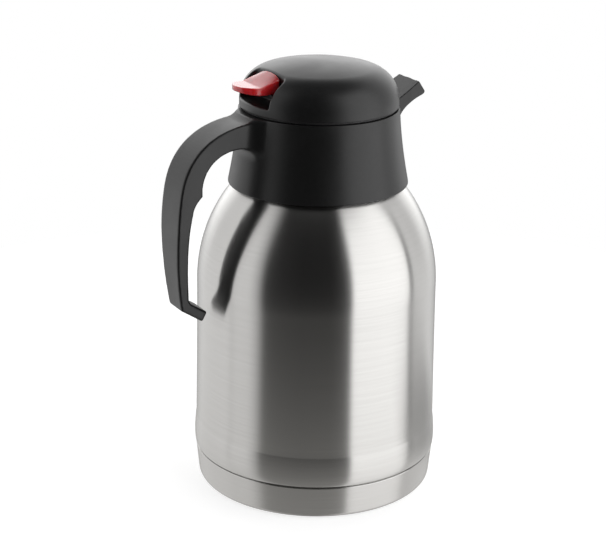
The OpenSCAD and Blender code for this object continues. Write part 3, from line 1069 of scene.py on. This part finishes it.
@dataclass
class SteelJug:
    """The steel outer wall and the base cup, each one sheet of steel."""

    groove_r: float = 70.0
    step_r: float = 69.0
    cup_r: float = 71.0
    cup_h: float = 20.4
    cup_round: float = 3.0
    body_r: float = 69.6
    flare: float = 2.2
    shoulder_z: float = 122.0
    shoulder_r: float = 90.0
    neck_r: float = 36.0
    neck_curve: float = 6.0
    neck_z: float = 206.2
    sheet: float = 0.8
    bead_r: float = 1.0
    bead_z: float = 200.5

    def wall_path(self) -> list[Point]:
        """The outer side of the wall from the foot to the mouth, as radius and height."""
        turn = math.degrees(
            math.acos(
                (self.neck_r + self.neck_curve - self.body_r + self.shoulder_r)
                / (self.shoulder_r + self.neck_curve)
            )
        )
        hub = (self.body_r - self.shoulder_r, self.shoulder_z)
        reach = self.shoulder_r + self.neck_curve
        corner = (
            hub[0] + reach * math.cos(math.radians(turn)),
            hub[1] + reach * math.sin(math.radians(turn)),
        )
        foot = [(self.step_r, 7.0), (self.step_r, 16.0), (self.groove_r, 17.4)]
        foot += [(self.groove_r, self.cup_h + 0.3)]
        start = self.cup_h + 5
        flare = curve(
            (self.groove_r + 1, self.cup_h + 0.9),
            (self.cup_r + 1, self.cup_h + 2.2),
            (self.body_r + self.flare, start + 6),
            (self.body_r + 1.1, start + 14),
            28,
        )
        side = [
            (self.body_r + 1.1 * (1 - t) ** 1.4, start + 14 + (self.shoulder_z - start - 14) * t)
            for t in np.linspace(0.05, 0.95, 12)
        ]
        shoulder = arc(hub, self.shoulder_r, 0, turn, 64)
        neck = arc(corner, self.neck_curve, turn + 180, 180, 12)
        return foot + flare + side + shoulder + neck + [(self.neck_r, self.neck_z)]

    def wall(self) -> bpy.types.Object:
        """The outer wall, with its groove above the cup and the bead under the collar."""
        outer = self.wall_path()
        bead = arc((self.neck_r - 0.2, self.bead_z), self.bead_r, -78, 78, 10)
        inner = moved(outer, self.sheet)[::-1]
        return turned_mesh("jug_wall", outer[:-1] + bead + outer[-1:] + inner)

    def cup(self) -> bpy.types.Object:
        """The base cup: a rolled top edge, a rounded lower edge and pressed rings below."""
        low = 1.0
        edge_r = self.cup_r - 1.6 - self.cup_round
        under = rounded(
            [
                (0.0, 3.4),
                (18.0, 3.4, 1.5),
                (20.0, 2.6, 1.5),
                (26.0, 2.6, 1.5),
                (28.0, 3.4, 1.5),
                (48.0, 3.4, 2.0),
                (53.0, low, 2.0),
                (edge_r - 0.5, low),
            ]
        )
        under = [p for p in under if p[0] < edge_r - 0.4]
        outside = arc((edge_r, low + self.cup_round), self.cup_round, -88, -6, 14)
        rim = arc((self.cup_r - 0.45, self.cup_h - 0.45), 0.45, 0, 100, 6)
        inside = [
            (self.groove_r, self.cup_h - 0.2),
            (self.groove_r, self.cup_h - 3),
            (self.step_r, self.cup_h - 4.4),
            (self.step_r, 6.2),
            (edge_r - 0.5, low + 1.2),
            (53.4, low + 1.2),
            (48.4, 4.6),
            (27.6, 4.6),
            (25.6, 3.8),
            (20.4, 3.8),
            (18.4, 4.6),
            (0.0, 4.6),
        ]
        return turned_mesh("jug_base_cup", under + outside + rim + inside)


@dataclass
class FootRing:
    """The rubber ring that the carafe stands on, with two fine ridges under it."""

    inner: float = 55.0
    outer: float = 64.0

    def build(self) -> bpy.types.Object:
        """Makes the ring."""
        outline = [
            (self.inner, 1.0),
            (self.inner, 0.45, 0.3),
            (self.inner + 0.6, 0.0, 0.3),
            (self.inner + 2.6, 0.0, 0.15),
            (self.inner + 2.9, 0.3, 0.1),
            (self.inner + 3.5, 0.3, 0.1),
            (self.inner + 3.8, 0.0, 0.15),
            (self.outer - 3.8, 0.0, 0.15),
            (self.outer - 3.5, 0.3, 0.1),
            (self.outer - 2.9, 0.3, 0.1),
            (self.outer - 2.6, 0.0, 0.15),
            (self.outer - 0.6, 0.0, 0.3),
            (self.outer, 0.45, 0.3),
            (self.outer, 1.0),
        ]
        return turned_mesh("jug_foot_ring", rounded(outline, 3), sides=144)


@dataclass
class Collar:
    """The black moulding on the neck: wall, basin, spout and handle in one piece."""

    low_r: float = 51.4
    top_r: float = 45.7
    low_z: float = 181.0
    top_z: float = 224.5
    wall: float = 2.6
    floor_z: float = 209.0
    basin_z: float = 212.0
    bore_r: float = 33.6
    neck_r: float = 36.2
    lip: Point = (59.8, 234.8)
    root_w: float = 12.0
    lip_w: float = 9.8
    spout_wall: float = 2.0
    handle_half: float = 11.7
    foot_half: float = 8.3
    handle_wall: float = 2.4
    handle_edge: float = 1.3
    root_fillet: float = 8.0
    screw_y: float = 6.5
    screw_z: float = 216.5
    screw_r: float = 1.55
    sink_r: float = 3.1

    def side(self) -> list[Point]:
        """The outer side of the wall from below to the rim."""
        start, end = (self.low_r, self.low_z + 1.2), (self.top_r, self.top_z - 0.8)
        return curve(start, (49, 194), (46.6, 208), end, 40)

    def shell(self) -> Solid:
        """The wall, the floor of the basin and the skirt that grips the neck."""
        outer = self.side()
        inner = moved(outer, self.wall)[::-1]
        above = [p for p in inner if self.basin_z + 1.2 < p[1] < self.top_z - 1.2]
        below = [p for p in inner if self.low_z + 1.2 < p[1] < self.floor_z - 2]
        rim_inner = above[0][0]
        outline = [(self.low_r - self.wall, self.low_z, 0.4), (self.low_r + 0.15, self.low_z, 0.9)]
        outline += outer
        outline += [(self.top_r - 0.03, self.top_z, 0.7), (rim_inner, self.top_z, 0.5)]
        outline += above
        outline += [
            (above[-1][0] + 0.05, self.basin_z - 0.4, 1.2),
            (self.bore_r + 1, self.basin_z, 0.8),
            (self.bore_r, self.basin_z - 1, 0.4),
            (self.bore_r, self.floor_z),
            (self.neck_r, self.floor_z),
            (self.neck_r, self.floor_z - 13, 0.3),
            (self.neck_r + 2.2, self.floor_z - 13, 0.3),
            (self.neck_r + 2.2, self.floor_z - 1, 0.8),
            (below[0][0] - 0.1, self.floor_z - 1, 0.8),
        ]
        outline += below
        return Solid.turned(Outline.of(rounded(outline)))

    def spout(self) -> Solid:
        """The spout, crisp above and softer below."""
        x, z = self.lip
        plan = Outline.of(
            [
                (30, -self.root_w),
                (54, -self.root_w + 0.3),
                (x + 14, -self.lip_w + 0.5),
                (x + 14, self.lip_w - 0.5),
                (54, self.root_w - 0.3),
                (30, self.root_w),
            ]
        )
        under = curve((x + 3.6, z - 8.6), (54, 223.5), (47.5, 219), (46.4, 211), 24)
        low = Outline.of([(x + 14, z + 8), (x + 14, z - 5.6)], under, [(43.9, 211), (43.9, 242)])
        end = [(43.0, 200), (43.0, 224.3), (45.8, 226.2), (x, z), (x + 4.8, z - 6.6, 1.4)]
        end += [(x + 3.4, z - 8.9), (x, z - 18)]
        body = Solid.across(low, 14).within(Solid.upright(plan, 200, 250), 2.2)
        return body.within(Solid.across(Outline.of(rounded(end, 6)), 40), 0.55)

    def channel(self) -> Solid:
        """The hollow of the spout, which opens into the basin."""
        x, z = self.lip
        half_root, half_lip = self.root_w - self.spout_wall, self.lip_w - self.spout_wall
        plan = Outline.of(
            [
                (30, -half_root),
                (54, -half_root + 0.3),
                (x + 9, -half_lip),
                (x + 9, half_lip),
                (54, half_root - 0.3),
                (30, half_root),
            ]
        )
        roof = [(42, 222.4), (44.6, 222.4), (x + 8, z + 2.4)]
        floor = curve((x + 5, z - 5.3), (55, 226), (47, 222), (42, self.basin_z + 0.4), 24)
        side = Outline.of(roof, floor)
        return Solid.across(side, 14, 0.8).within(Solid.upright(plan, 200, 250), 0.8)

    def handle_lines(self) -> dict[str, list[Point]]:
        """Side view of the handle, with the handle towards +X."""
        return {
            "back": curve((44, 222.6), (66, 222.2), (87, 213), (91.5, 187), 34)
            + curve((91.7, 185.8), (93.7, 174), (95.7, 150), (91.1, 121.4), 26),
            "foot": rounded(
                [(91.1, 121.4), (90.6, 119.0, 1.4), (78.3, 110.9, 0.5), (77.4, 111.2, 0.5)]
                + [(75.0, 115.6, 0.5), (75.3, 116.3, 0.4), (84.5, 122.3, 1.2), (86.0, 124.4)]
            )[1:-1],
            "low": curve((86.0, 124.4), (87.0, 140), (88.1, 160), (84.1, 175.6), 22),
            "step": curve((84.0, 176.6), (83.0, 180), (80.6, 182.8), (78.4, 184.6), 10),
            "high": curve((78.4, 188.5), (77.7, 199), (69.4, 208.2), (56, 208.4), 24),
        }

    def handle_width(self, inset: float) -> Solid:
        """Front view of the handle, which is slimmer towards its foot.

        Args:
            inset: How far inside the handle's skin.

        Returns:
            The room between the two sides.
        """
        full, foot = self.handle_half - inset, self.foot_half - inset
        side = [(full, 240), (full, 176)]
        side += curve((full, 172), (full, 160), (foot + 1.0, 140), (foot, 116), 20)
        side += [(foot, 105)]
        return Solid.facing(Outline.of(side, [(-y, z) for y, z in side[::-1]]))

    def handle(self) -> Solid:
        """The handle, with the pocket that its grip strip closes."""
        lines = self.handle_lines()
        outside = Outline.of(
            lines["back"], lines["foot"], lines["low"], lines["step"], lines["high"], [(44, 207.4)]
        )
        behind = [p for p in moved(lines["back"], -self.handle_wall) if p[0] > 56 and p[1] > 128]
        front = lines["low"] + lines["step"] + [p for p in lines["high"] if p[0] > 57]
        hollow = Outline.of(behind, front)
        pocket = Solid.across(hollow.flipped(), 40).within(self.handle_width(self.handle_wall))
        grip = Solid.across(outside.flipped(), 40)
        return grip.within(self.handle_width(0.0), self.handle_edge).cut(pocket, 0.5)

    def screw_holes(self) -> Solid:
        """The two countersunk holes in the wall behind the handle."""

        def distance(x: Array, y: Array, z: Array) -> Array:
            """Distance to the nearer hole or its countersink.

            Args:
                x: Places along X.
                y: Places along Y.
                z: Places along Z.

            Returns:
                The distances.
            """
            from_axis = np.hypot(np.abs(y) - self.screw_y, z - self.screw_z)
            hole = np.maximum(from_axis - self.screw_r, np.abs(x + 51) - 9)
            sink = np.maximum(from_axis - self.sink_r, np.abs(x + 42) - 1.9)
            return np.minimum(hole, sink)

        return Solid(distance)

    def build(self) -> bpy.types.Object:
        """Makes the whole moulding."""
        rim = Solid(lambda x, y, z: z - self.top_z)
        body = self.shell().joined(self.handle(), self.root_fillet).within(rim, 0.4)
        body = body.cut(Solid.turned(Outline.of([(-3, 212.2), (43, 212.2), (43, 240), (-3, 240)])))
        whole = body.joined(self.spout(), 1.6).cut(self.channel(), 0.5).cut(self.screw_holes())
        lattice = Lattice(
            spaced(-170, (-22, 2.4), (-18, 1.0), (18, 0.6), (22, 1.0), (152, 2.4), (190, 0.65)),
            spaced(32.9, (51.6, 0.5), (97.4, 0.8)),
            spaced(109.93, (180.4, 1.0), (182.8, 0.4), (206, 1.2), (214, 0.55), (236, 0.5)),
            wound=True,
        )
        return moulded("jug_collar_and_handle", whole, lattice)

    def grip_strip(self) -> bpy.types.Object:
        """The strip that closes the inside of the handle."""
        lines = self.handle_lines()
        front = [p for p in lines["low"] if p[1] > 131] + lines["step"]
        front += [p for p in lines["high"] if p[0] > 59]
        outline = Outline.of(moved(front, 0.25), moved(front, -1.8)[::-1]).flipped()
        width = self.handle_width(self.handle_wall + 0.15)
        solid = Solid.across(outline, 40).within(width, 0.5)
        lattice = Lattice(
            spaced(-89.5, (-57.5, 0.5)),
            spaced(-9.4, (-7.8, 0.3), (7.8, 1.1), (9.4, 0.3)),
            spaced(130.2, (211, 0.5)),
        )
        return moulded("jug_grip_strip", solid, lattice)


# ---- the lid ---------------------------------------------------------------------------


@dataclass
class Dome:
    """The domed top of the lid, with the well that the lever dips into."""

    radius: float = 45.1
    low_z: float = 225.6
    side_z: float = 229.0
    corner: float = 18.8
    top_z: float = 251.0
    wall: float = 2.2
    well_x: float = 30.6
    well_half: float = 16.7
    well_corner: float = 3.5
    well_floor: float = 230.5
    well_wall: float = 1.6
    slot_half: float = 6.8
    post_ring: float = 33.8
    post_r: float = 3.6
    hole_r: float = 1.45
    hole_top: float = 237.5

    def path(self, inset: float) -> list[Point]:
        """The dome's side view from the rim to the crown, moved inwards.

        Args:
            inset: How far inwards.

        Returns:
            The path, a little past the axis.
        """
        hub_r = self.radius - self.corner
        rise = self.top_z - self.side_z
        crown_r = (hub_r**2 + rise**2 - self.corner**2) / (2 * (rise - self.corner))
        hub_z = self.top_z - crown_r
        slant = math.degrees(math.asin(hub_r / (crown_r - self.corner)))
        side = arc((hub_r, self.side_z), self.corner - inset, 0, 90 - slant, 30)
        crown = arc((0, hub_z), crown_r - inset, 90 - slant, 91.5, 20)
        return side + crown[1:]

    def well(self, grown: float = 0.0, edge: float = 0.0) -> Solid:
        """The room over the thumb well.

        Args:
            grown: How much larger it is in plan and downwards.
            edge: Radius of its own edges.

        Returns:
            The room, open outwards and upwards.
        """
        inner, half = self.well_x - grown, self.well_half + grown
        plan = rounded(
            [(-inner, -half, self.well_corner), (-inner, half, self.well_corner)]
            + [(-60, half), (-60, -half)],
            12,
        )
        return Solid.upright(Outline.of(plan), self.well_floor - grown, 275, edge)

    def build(self) -> bpy.types.Object:
        """Makes the dome, its well and the posts for the lid's screws."""
        outer = Outline.of(
            rounded([(self.radius - self.wall, self.low_z, 0.4), (self.radius, self.low_z, 0.5)]
                    + self.path(0.0))[:-1],
            self.path(0.0)[-1:],
            self.path(self.wall)[::-1],
        )
        full = Solid.turned(Outline.of([(-3, 200), (self.radius - 0.4, 200)], self.path(0.4)))
        walls = self.well(self.well_wall).within(full).within(Solid(lambda x, y, z: 226.6 - z))
        posts = self.posts(self.post_r, 300.0).within(full)
        shell = Solid.turned(outer).joined(walls, 0.3).joined(posts)
        slot = Solid.across(
            Outline.of([(-33, 233.6), (-24, 233.6), (-24, 245.6), (-33, 245.6)]), self.slot_half
        )
        holes = self.posts(self.hole_r, self.hole_top)
        whole = shell.cut(self.well(0.0, 0.8), 1.3).cut(slot, 0.4).cut(holes)
        lattice = Lattice(
            spaced(138, (222, 0.75), (498, 2.4)),
            spaced(0.0, (24, 1.2), (45.5, 0.55)),
            spaced(225.2, (227, 0.3), (251.3, 0.5)),
            wound=True,
        )
        return moulded("lid_dome_skin", whole, lattice)

    def posts(self, radius: float, top: float) -> Solid:
        """The four posts inside the dome, or the holes in them.

        Args:
            radius: Radius of each.
            top: Height that they reach.

        Returns:
            The posts as one solid.
        """

        place_x = self.post_ring * math.cos(math.pi / 3)
        place_y = self.post_ring * math.sin(math.pi / 3)

        def distance(x: Array, y: Array, z: Array) -> Array:
            """Distance to the nearest of the four.

            Args:
                x: Places along X.
                y: Places along Y.
                z: Places along Z.

            Returns:
                The distances.
            """
            flat = np.hypot(np.abs(x) - place_x, np.abs(y) - place_y) - radius
            return np.maximum(flat, np.maximum(self.low_z - z, z - top))

        return Solid(distance)


@dataclass
class Lever:
    """The red thumb lever: pad, arm, nose and hub in one moulding."""

    half: float = 10.8
    crease: Point = (42.8, 241.2)
    lip: float = 10.8
    back_x: float = 31.4
    back_rise: float = 0.4
    crown: float = 1.9
    slope: float = 0.325
    lip_slope: float = 0.04
    depth: float = 4.4
    edge: float = 0.4
    pivot: Point = (31.0, 239.5)
    arm_half: float = 6.0
    hub_r: float = 3.9
    hub_half: float = 6.7
    pin_r: float = 1.55

    def pad(self) -> Solid:
        """The thumb pad: a plate, crowned towards the dome, that folds into a lip."""
        x, z = self.crease
        tip = x + self.lip
        side = Outline.of(
            rounded(
                [
                    (self.back_x - 4, 238.4),
                    (x - 6, 236.8, 3.0),
                    (x, z - self.depth, 3.0),
                    (tip + 1, z + self.lip_slope * self.lip - 2.8),
                    (tip + 1, z + self.lip_slope * (self.lip + 1)),
                    (x, z, 3.0),
                    (self.back_x - 4, z + self.slope * (x - self.back_x + 4)),
                ],
                8,
            )
        )
        lip_r = self._span(self.lip)
        back_r = self._span(self.back_rise)
        lip_turn = math.degrees(math.asin(self.half / lip_r))
        back_turn = math.degrees(math.asin(self.half / back_r))
        plan = Outline.of(
            arc((tip - lip_r, 0), lip_r, -lip_turn, lip_turn, 40),
            arc((self.back_x - self.back_rise + back_r, 0), back_r, 180 - back_turn,
                180 + back_turn, 16),
        )
        flat = Solid.across(side.flipped(), self.half + 3)

        def crowned(at_x: Array, at_y: Array, at_z: Array) -> Array:
            """Distance to the plate, raised along its middle.

            Args:
                at_x: Places along X.
                at_y: Places along Y.
                at_z: Places along Z.

            Returns:
                The distances.
            """
            along = np.clip((-at_x - self.back_x) / (x - self.back_x), -0.3, 1.0)
            across = np.clip(np.abs(at_y) / self.half, 0.0, 1.0)
            return flat.at(at_x, at_y, at_z - self.crown * (1 - along) ** 1.5 * (1 - across**3))

        block = Solid.upright(plan.flipped(), 225, 260)
        return Solid(crowned).within(block, self.edge)

    def _span(self, rise: float) -> float:
        """Radius of an arc over the pad's width with a given rise."""
        return (self.half**2 + rise**2) / (2 * rise)

    def build(self) -> bpy.types.Object:
        """Makes the lever."""
        x, z = self.pivot
        arm = Outline.of(
            rounded(
                [
                    (-x, z - 1),
                    (-x, z + 3),
                    (0, 243.2, 20.0),
                    (self.back_x + 1, 243.6),
                    (self.back_x + 1, 238.6),
                    (self.back_x - 4, 240.2, 2.0),
                    (-x + 6, 240.2, 2.0),
                ]
            )
        ).flipped()
        solid = self.pad().joined(Solid.across(arm, self.arm_half, 0.6), 1.0)
        nose = Solid.bar((0, 241.3), 2.4, self.arm_half - 2, 0.5)
        hub = Solid.bar(self.pivot, self.hub_r, self.hub_half, 0.4)
        solid = solid.joined(nose, 0.5).joined(hub, 0.5)
        solid = solid.cut(Solid.bar(self.pivot, self.pin_r, 20))
        lattice = Lattice(
            spaced(-54.4, (-41, 0.35), (-28, 0.45), (36, 0.8)),
            spaced(-11.4, (-9, 0.35), (9, 0.6), (11.4, 0.35)),
            spaced(235.2, (248.6, 0.35)),
        )
        return moulded("lever_moulding", solid, lattice)


@dataclass
class ReturnSpring:
    """The wire spring under the lever's nose."""

    radius: float = 6.3
    wire: float = 0.5
    low: float = 225.6
    high: float = 236.6
    turns: int = 5
    travel: float = 2.2724

    def build(self) -> bpy.types.Object:
        """Winds the spring, with closed coils at both ends."""
        first, last = self.low + self.wire, self.high - self.wire
        flat = 2 * self.wire + 0.45
        pitch = (last - first - 2 * flat) / (self.turns - 2)
        turn = np.linspace(0, self.turns, self.turns * 48 + 1)
        z = first + np.minimum(turn, 1) * flat
        z += np.clip(turn - 1, 0, self.turns - 2) * pitch
        z += np.clip(turn - (self.turns - 1), 0, 1) * flat
        angle = turn * 2 * math.pi
        path = np.stack([self.radius * np.cos(angle), self.radius * np.sin(angle), z], 1)
        return tube("valve_return_spring", path, self.wire)

    def keep(self) -> float:
        """The share of its length that is left when the lever is down."""
        return 1 - self.travel / (self.high - self.low)


# ---- the studio ------------------------------------------------------------------------


# Brightness of the room by direction, in degrees to the right of the camera, seen from the carafe.
WALLS = [(-92, 1.12), (-88, 1.09), (-87, 0.82), (-85, 0.82), (-84, 1.09), (-65, 1.04)]
WALLS += [(-57, 0.65), (-50, 0.04), (-15, 0.02), (15, 0.02), (25, 0.04), (33, 0.1)]
WALLS += [(36, 1.82), (97, 1.94), (99, 0.26), (102, 0.26), (105, 1.04)]
FADE = [(138, 1.05), (144, 0.95), (152, 0.74), (157, 0.56), (162, 0.35), (168, 0.28), (180, 0.28)]
UPPER_WALLS = [(-180, 0.8), (-120, 0.98), *WALLS, (120, 0.9), (180, 0.8)]
LOWER_WALLS = [(-a, v) for a, v in FADE[::-1]] + WALLS + FADE
# Levels by height, from straight down at 0 to straight up at 1.
WALL_HEIGHT = [(0.0, 0.5), (0.2, 0.9), (0.3, 1.0), (0.86, 1.0), (0.95, 0.0)]
CEILING = [(0.9, 0.0), (0.97, 0.06), (1.0, 0.06)]
BACK_HEIGHT = [(0.42, 0), (0.5, 1), (0.66, 1), (0.82, 0.4), (0.92, 0)]
# The back wall's extra light by direction, as a share of the full turn.
BACK_WALL = [(0, 0.62), (0.08, 0.5), (0.15, 0), (0.85, 0), (0.92, 0.5), (1, 0.62)]


@dataclass
class Studio:
    """A white table and soft lights, with the photograph's camera."""

    camera_place: Point = (-453.8, -786.0, 446.9)
    aim: Point = (0.4640, 0.8200, -0.3351)
    roll: float = 0.736
    lens: float = 98.02
    sensor: float = 36.0
    table_r: float = 480.0
    table_sides: int = 128
    table_grey: float = 0.62
    table_lift: float = 0.71
    # Painted reflection: the glow that glossy rays see on the table near the carafe, standing in
    # for the lit table.
    painted_reflection_glow: Point = (0.8, 0.79, 0.765, 1.0)
    painted_reflection_reach: Point = (0.08, 0.48)
    painted_reflection_share: Point = (0.02, 0.44)
    # Painted dark reflection: a near-black glow round one spot of the table, painted shade in the
    # steel's reflection.
    painted_dark_reflection_spot: Point = (0.178, -0.061, 0.0)
    painted_dark_reflection_reach: Point = (0.05, 0.11)
    painted_dark_reflection_share: float = 0.55
    strength: float = 2.0

    def camera(self) -> None:
        """Stands the camera where the photograph was taken from."""
        ahead = Vector(self.aim).normalized()
        right = ahead.cross(Vector((0, 0, 1))).normalized()
        up = right.cross(ahead)
        tilt = math.radians(self.roll)
        x_axis = right * math.cos(tilt) + up * math.sin(tilt)
        y_axis = up * math.cos(tilt) - right * math.sin(tilt)
        data = bpy.data.cameras.new("camera")
        data.lens, data.sensor_width = self.lens, self.sensor
        data.clip_start, data.clip_end = 0.05, 20.0
        made = bpy.data.objects.new("camera", data)
        bpy.context.scene.collection.objects.link(made)
        turn = Matrix((x_axis, y_axis, -ahead)).transposed()
        made.matrix_world = Matrix.Translation(Vector(self.camera_place) * MM) @ turn.to_4x4()
        bpy.context.scene.camera = made

    def table(self) -> None:
        """Lays the pale table that keeps the carafe's shadow."""
        turn = np.arange(self.table_sides) * 2 * math.pi / self.table_sides
        rim = np.stack([np.cos(turn), np.sin(turn), np.zeros(self.table_sides)], 1) * self.table_r
        table = as_object("table", rim, [list(range(self.table_sides))])
        s = Shader("table_white")
        grey = (self.table_grey, self.table_grey, self.table_grey, 1.0)
        s.set(Base_Color=grey, Roughness=0.9, Specular_IOR_Level=0.0)
        lift = s.spread(s.seen(), 0.0, 1.0, 0.0, self.table_lift)
        glow = self._glow(s, (1.0, 1.0, 1.0, 1.0), lift)
        paper = s.add("ShaderNodeAddShader", {0: s.surface.outputs["BSDF"], 1: glow})
        # Glossy rays see the painted reflection glow and painted dark patch of _mirrored, not the
        # lit table.
        glossy = s.add("ShaderNodeLightPath").outputs["Is Glossy Ray"]
        look = s.either(glossy, paper.outputs[0], self._mirrored(s))
        s.feed(s.output.inputs["Surface"], look)
        table.data.materials.append(s.material)

    @staticmethod
    def _glow(s: Shader, colour: Point, strength: object = 1.0) -> bpy.types.NodeSocket:
        """A shader that gives off light."""
        node = s.add("ShaderNodeEmission", {"Color": colour, "Strength": strength})
        return node.outputs["Emission"]

    def _mirrored(self, s: Shader) -> bpy.types.NodeSocket:
        """What the table is to a mirror: clear far out, a painted reflection glow near in, and one
        painted dark reflection patch.

        Args:
            s: The table's material.

        Returns:
            The shader for glossy rays.
        """
        place = s.add("ShaderNodeSeparateXYZ", {"Vector": s.where}).outputs
        flat = s.add("ShaderNodeCombineXYZ", {"X": place["X"], "Y": place["Y"]}).outputs[0]
        far = s.add("ShaderNodeVectorMath", {0: flat}, operation="LENGTH").outputs["Value"]
        # Painted reflection: a glow on the table for glossy rays, strongest near the carafe and
        # gone further out.
        share = s.math("POWER", s.spread(far, *self.painted_reflection_reach, 1.0, 0.0), 1.8)
        painted_reflection_mix = s.spread(share, 0.0, 1.0, *self.painted_reflection_share)
        clear = s.add("ShaderNodeBsdfTransparent").outputs[0]
        painted_reflection = s.either(painted_reflection_mix, clear, self._glow(s, self.painted_reflection_glow))
        # Painted dark reflection: glossy rays see a near-black glow round one spot of the table,
        # painted shade in the steel.
        gap = s.add("ShaderNodeVectorMath", {0: flat, 1: self.painted_dark_reflection_spot}, operation="DISTANCE")
        painted_shade_share = s.spread(gap.outputs["Value"], *self.painted_dark_reflection_reach, self.painted_dark_reflection_share, 0.0)
        return s.either(painted_shade_share, painted_reflection, self._glow(s, (0.02, 0.02, 0.02, 1.0)))

    def lights(self) -> None:
        """Sets the soft studio light as a world that is brighter where the panels stand."""
        world = bpy.data.worlds.new("studio")
        bpy.context.scene.world = world
        world.use_nodes = True
        s = Nodes(world.node_tree)
        where = s.add("ShaderNodeTexCoord").outputs["Generated"]
        axes = s.add("ShaderNodeSeparateXYZ", {"Vector": where}).outputs
        facing = math.atan2(self.camera_place[1], self.camera_place[0])
        turned = s.math("SUBTRACT", s.math("ARCTAN2", axes["Y"], axes["X"]), facing)
        share = s.spread(s.math("WRAP", turned, math.pi, -math.pi), -math.pi, math.pi)
        height = s.spread(axes["Z"], -1.0, 1.0)
        upper = s.ramp(share, self._round(UPPER_WALLS))
        lower = s.ramp(share, self._round(LOWER_WALLS))
        around = s.tint(lower, upper, s.spread(axes["Z"], -0.16, 0.0))
        lit = s.tint(around, s.ramp(height, WALL_HEIGHT), blend="MULTIPLY")
        back = s.tint(s.ramp(share, BACK_WALL), s.ramp(height, BACK_HEIGHT), blend="MULTIPLY")
        for extra in (s.ramp(height, CEILING), back):
            lit = s.tint(lit, extra, blend="ADD")
        studio = s.add("ShaderNodeBackground", {"Color": lit, "Strength": self.strength})
        paper = s.add("ShaderNodeBackground", {"Color": (1.0, 1.0, 1.0, 1.0), "Strength": 1.0})
        both = s.either(s.seen(), studio.outputs[0], paper.outputs[0])
        s.add("ShaderNodeOutputWorld", {"Surface": both})

    def _round(self, walls: Sequence[Point]) -> list[Point]:
        """Turns walls in degrees and brightness into the stops of a ramp."""
        return [((a + 180) / 360, v / self.strength) for a, v in walls]

    def build(self) -> None:
        """Makes the camera, the table and the light."""
        self.camera()
        self.table()
        self.lights()
        bpy.context.scene.view_settings.view_transform = "Standard"


# ---- putting it together ---------------------------------------------------------------

INNER_NODES = {
    "shell_bottom": Finish.FLASK_STEEL,
    "inner_flask": Finish.FLASK_STEEL,
    "getter_capsule": Finish.SCREW_STEEL,
    "vacuum_seal": Finish.SCREW_STEEL,
    "handle_screws": Finish.SCREW_STEEL,
    "lid_screws": Finish.SCREW_STEEL,
    "lever_pin": Finish.SCREW_STEEL,
    "valve_stem": Finish.SCREW_STEEL,
    "lid_base": Finish.INNER,
    "stopper_body": Finish.INNER,
    "valve_disc": Finish.INNER,
    "spring_cap": Finish.INNER,
    "neck_gasket": Finish.SILICONE,
    "lid_gasket": Finish.SILICONE,
    "stopper_seal": Finish.SILICONE,
    "valve_seal": Finish.SILICONE,
    "stem_oring": Finish.SILICONE,
}


@dataclass
class Carafe:
    """The whole carafe: new pieces where the eye rests, CAD nodes elsewhere."""

    palette: Palette = field(default_factory=Palette)

    def place(
        self, piece: bpy.types.Object, body: str, finish: Finish, *nodes: str
    ) -> bpy.types.Object:
        """Dresses a new piece and ties it to the frame.

        Args:
            piece: The piece.
            body: The CAD body that it rides on.
            finish: Its finish.
            nodes: The CAD nodes that it stands for.

        Returns:
            The piece.
        """
        self.palette.dress(piece, finish)
        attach(piece, body)
        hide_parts(*nodes)
        LOG.info("%s rides on %s for %s", piece.name, body, ", ".join(nodes))
        return piece

    def build(self) -> None:
        """Makes every piece in order, from the foot to the lever."""
        jug, collar = SteelJug(), Collar()
        self.place(jug.wall(), "jug", Finish.BODY_STEEL, "outer_shell")
        self.place(jug.cup(), "jug", Finish.BODY_STEEL, "base_cup")
        self.place(FootRing().build(), "jug", Finish.FOOT, "foot_ring")
        self.place(collar.build(), "jug", Finish.BLACK, "collar", "handle_shell")
        self.place(collar.grip_strip(), "jug", Finish.BLACK, "handle_insert")
        self.place(Dome().build(), "lid", Finish.BLACK, "lid_dome")
        self.place(Lever().build(), "lever", Finish.RED, "lever")
        spring = ReturnSpring()
        coil = self.place(spring.build(), "valve", Finish.SCREW_STEEL, "valve_spring")
        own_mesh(coil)
        for name, finish in INNER_NODES.items():
            self.palette.dress(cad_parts[name], finish)


def main() -> None:
    logging.basicConfig(level=logging.INFO, format="%(message)s")
    Carafe().build()
    Studio().build()


if __name__ == "__main__":
    main()
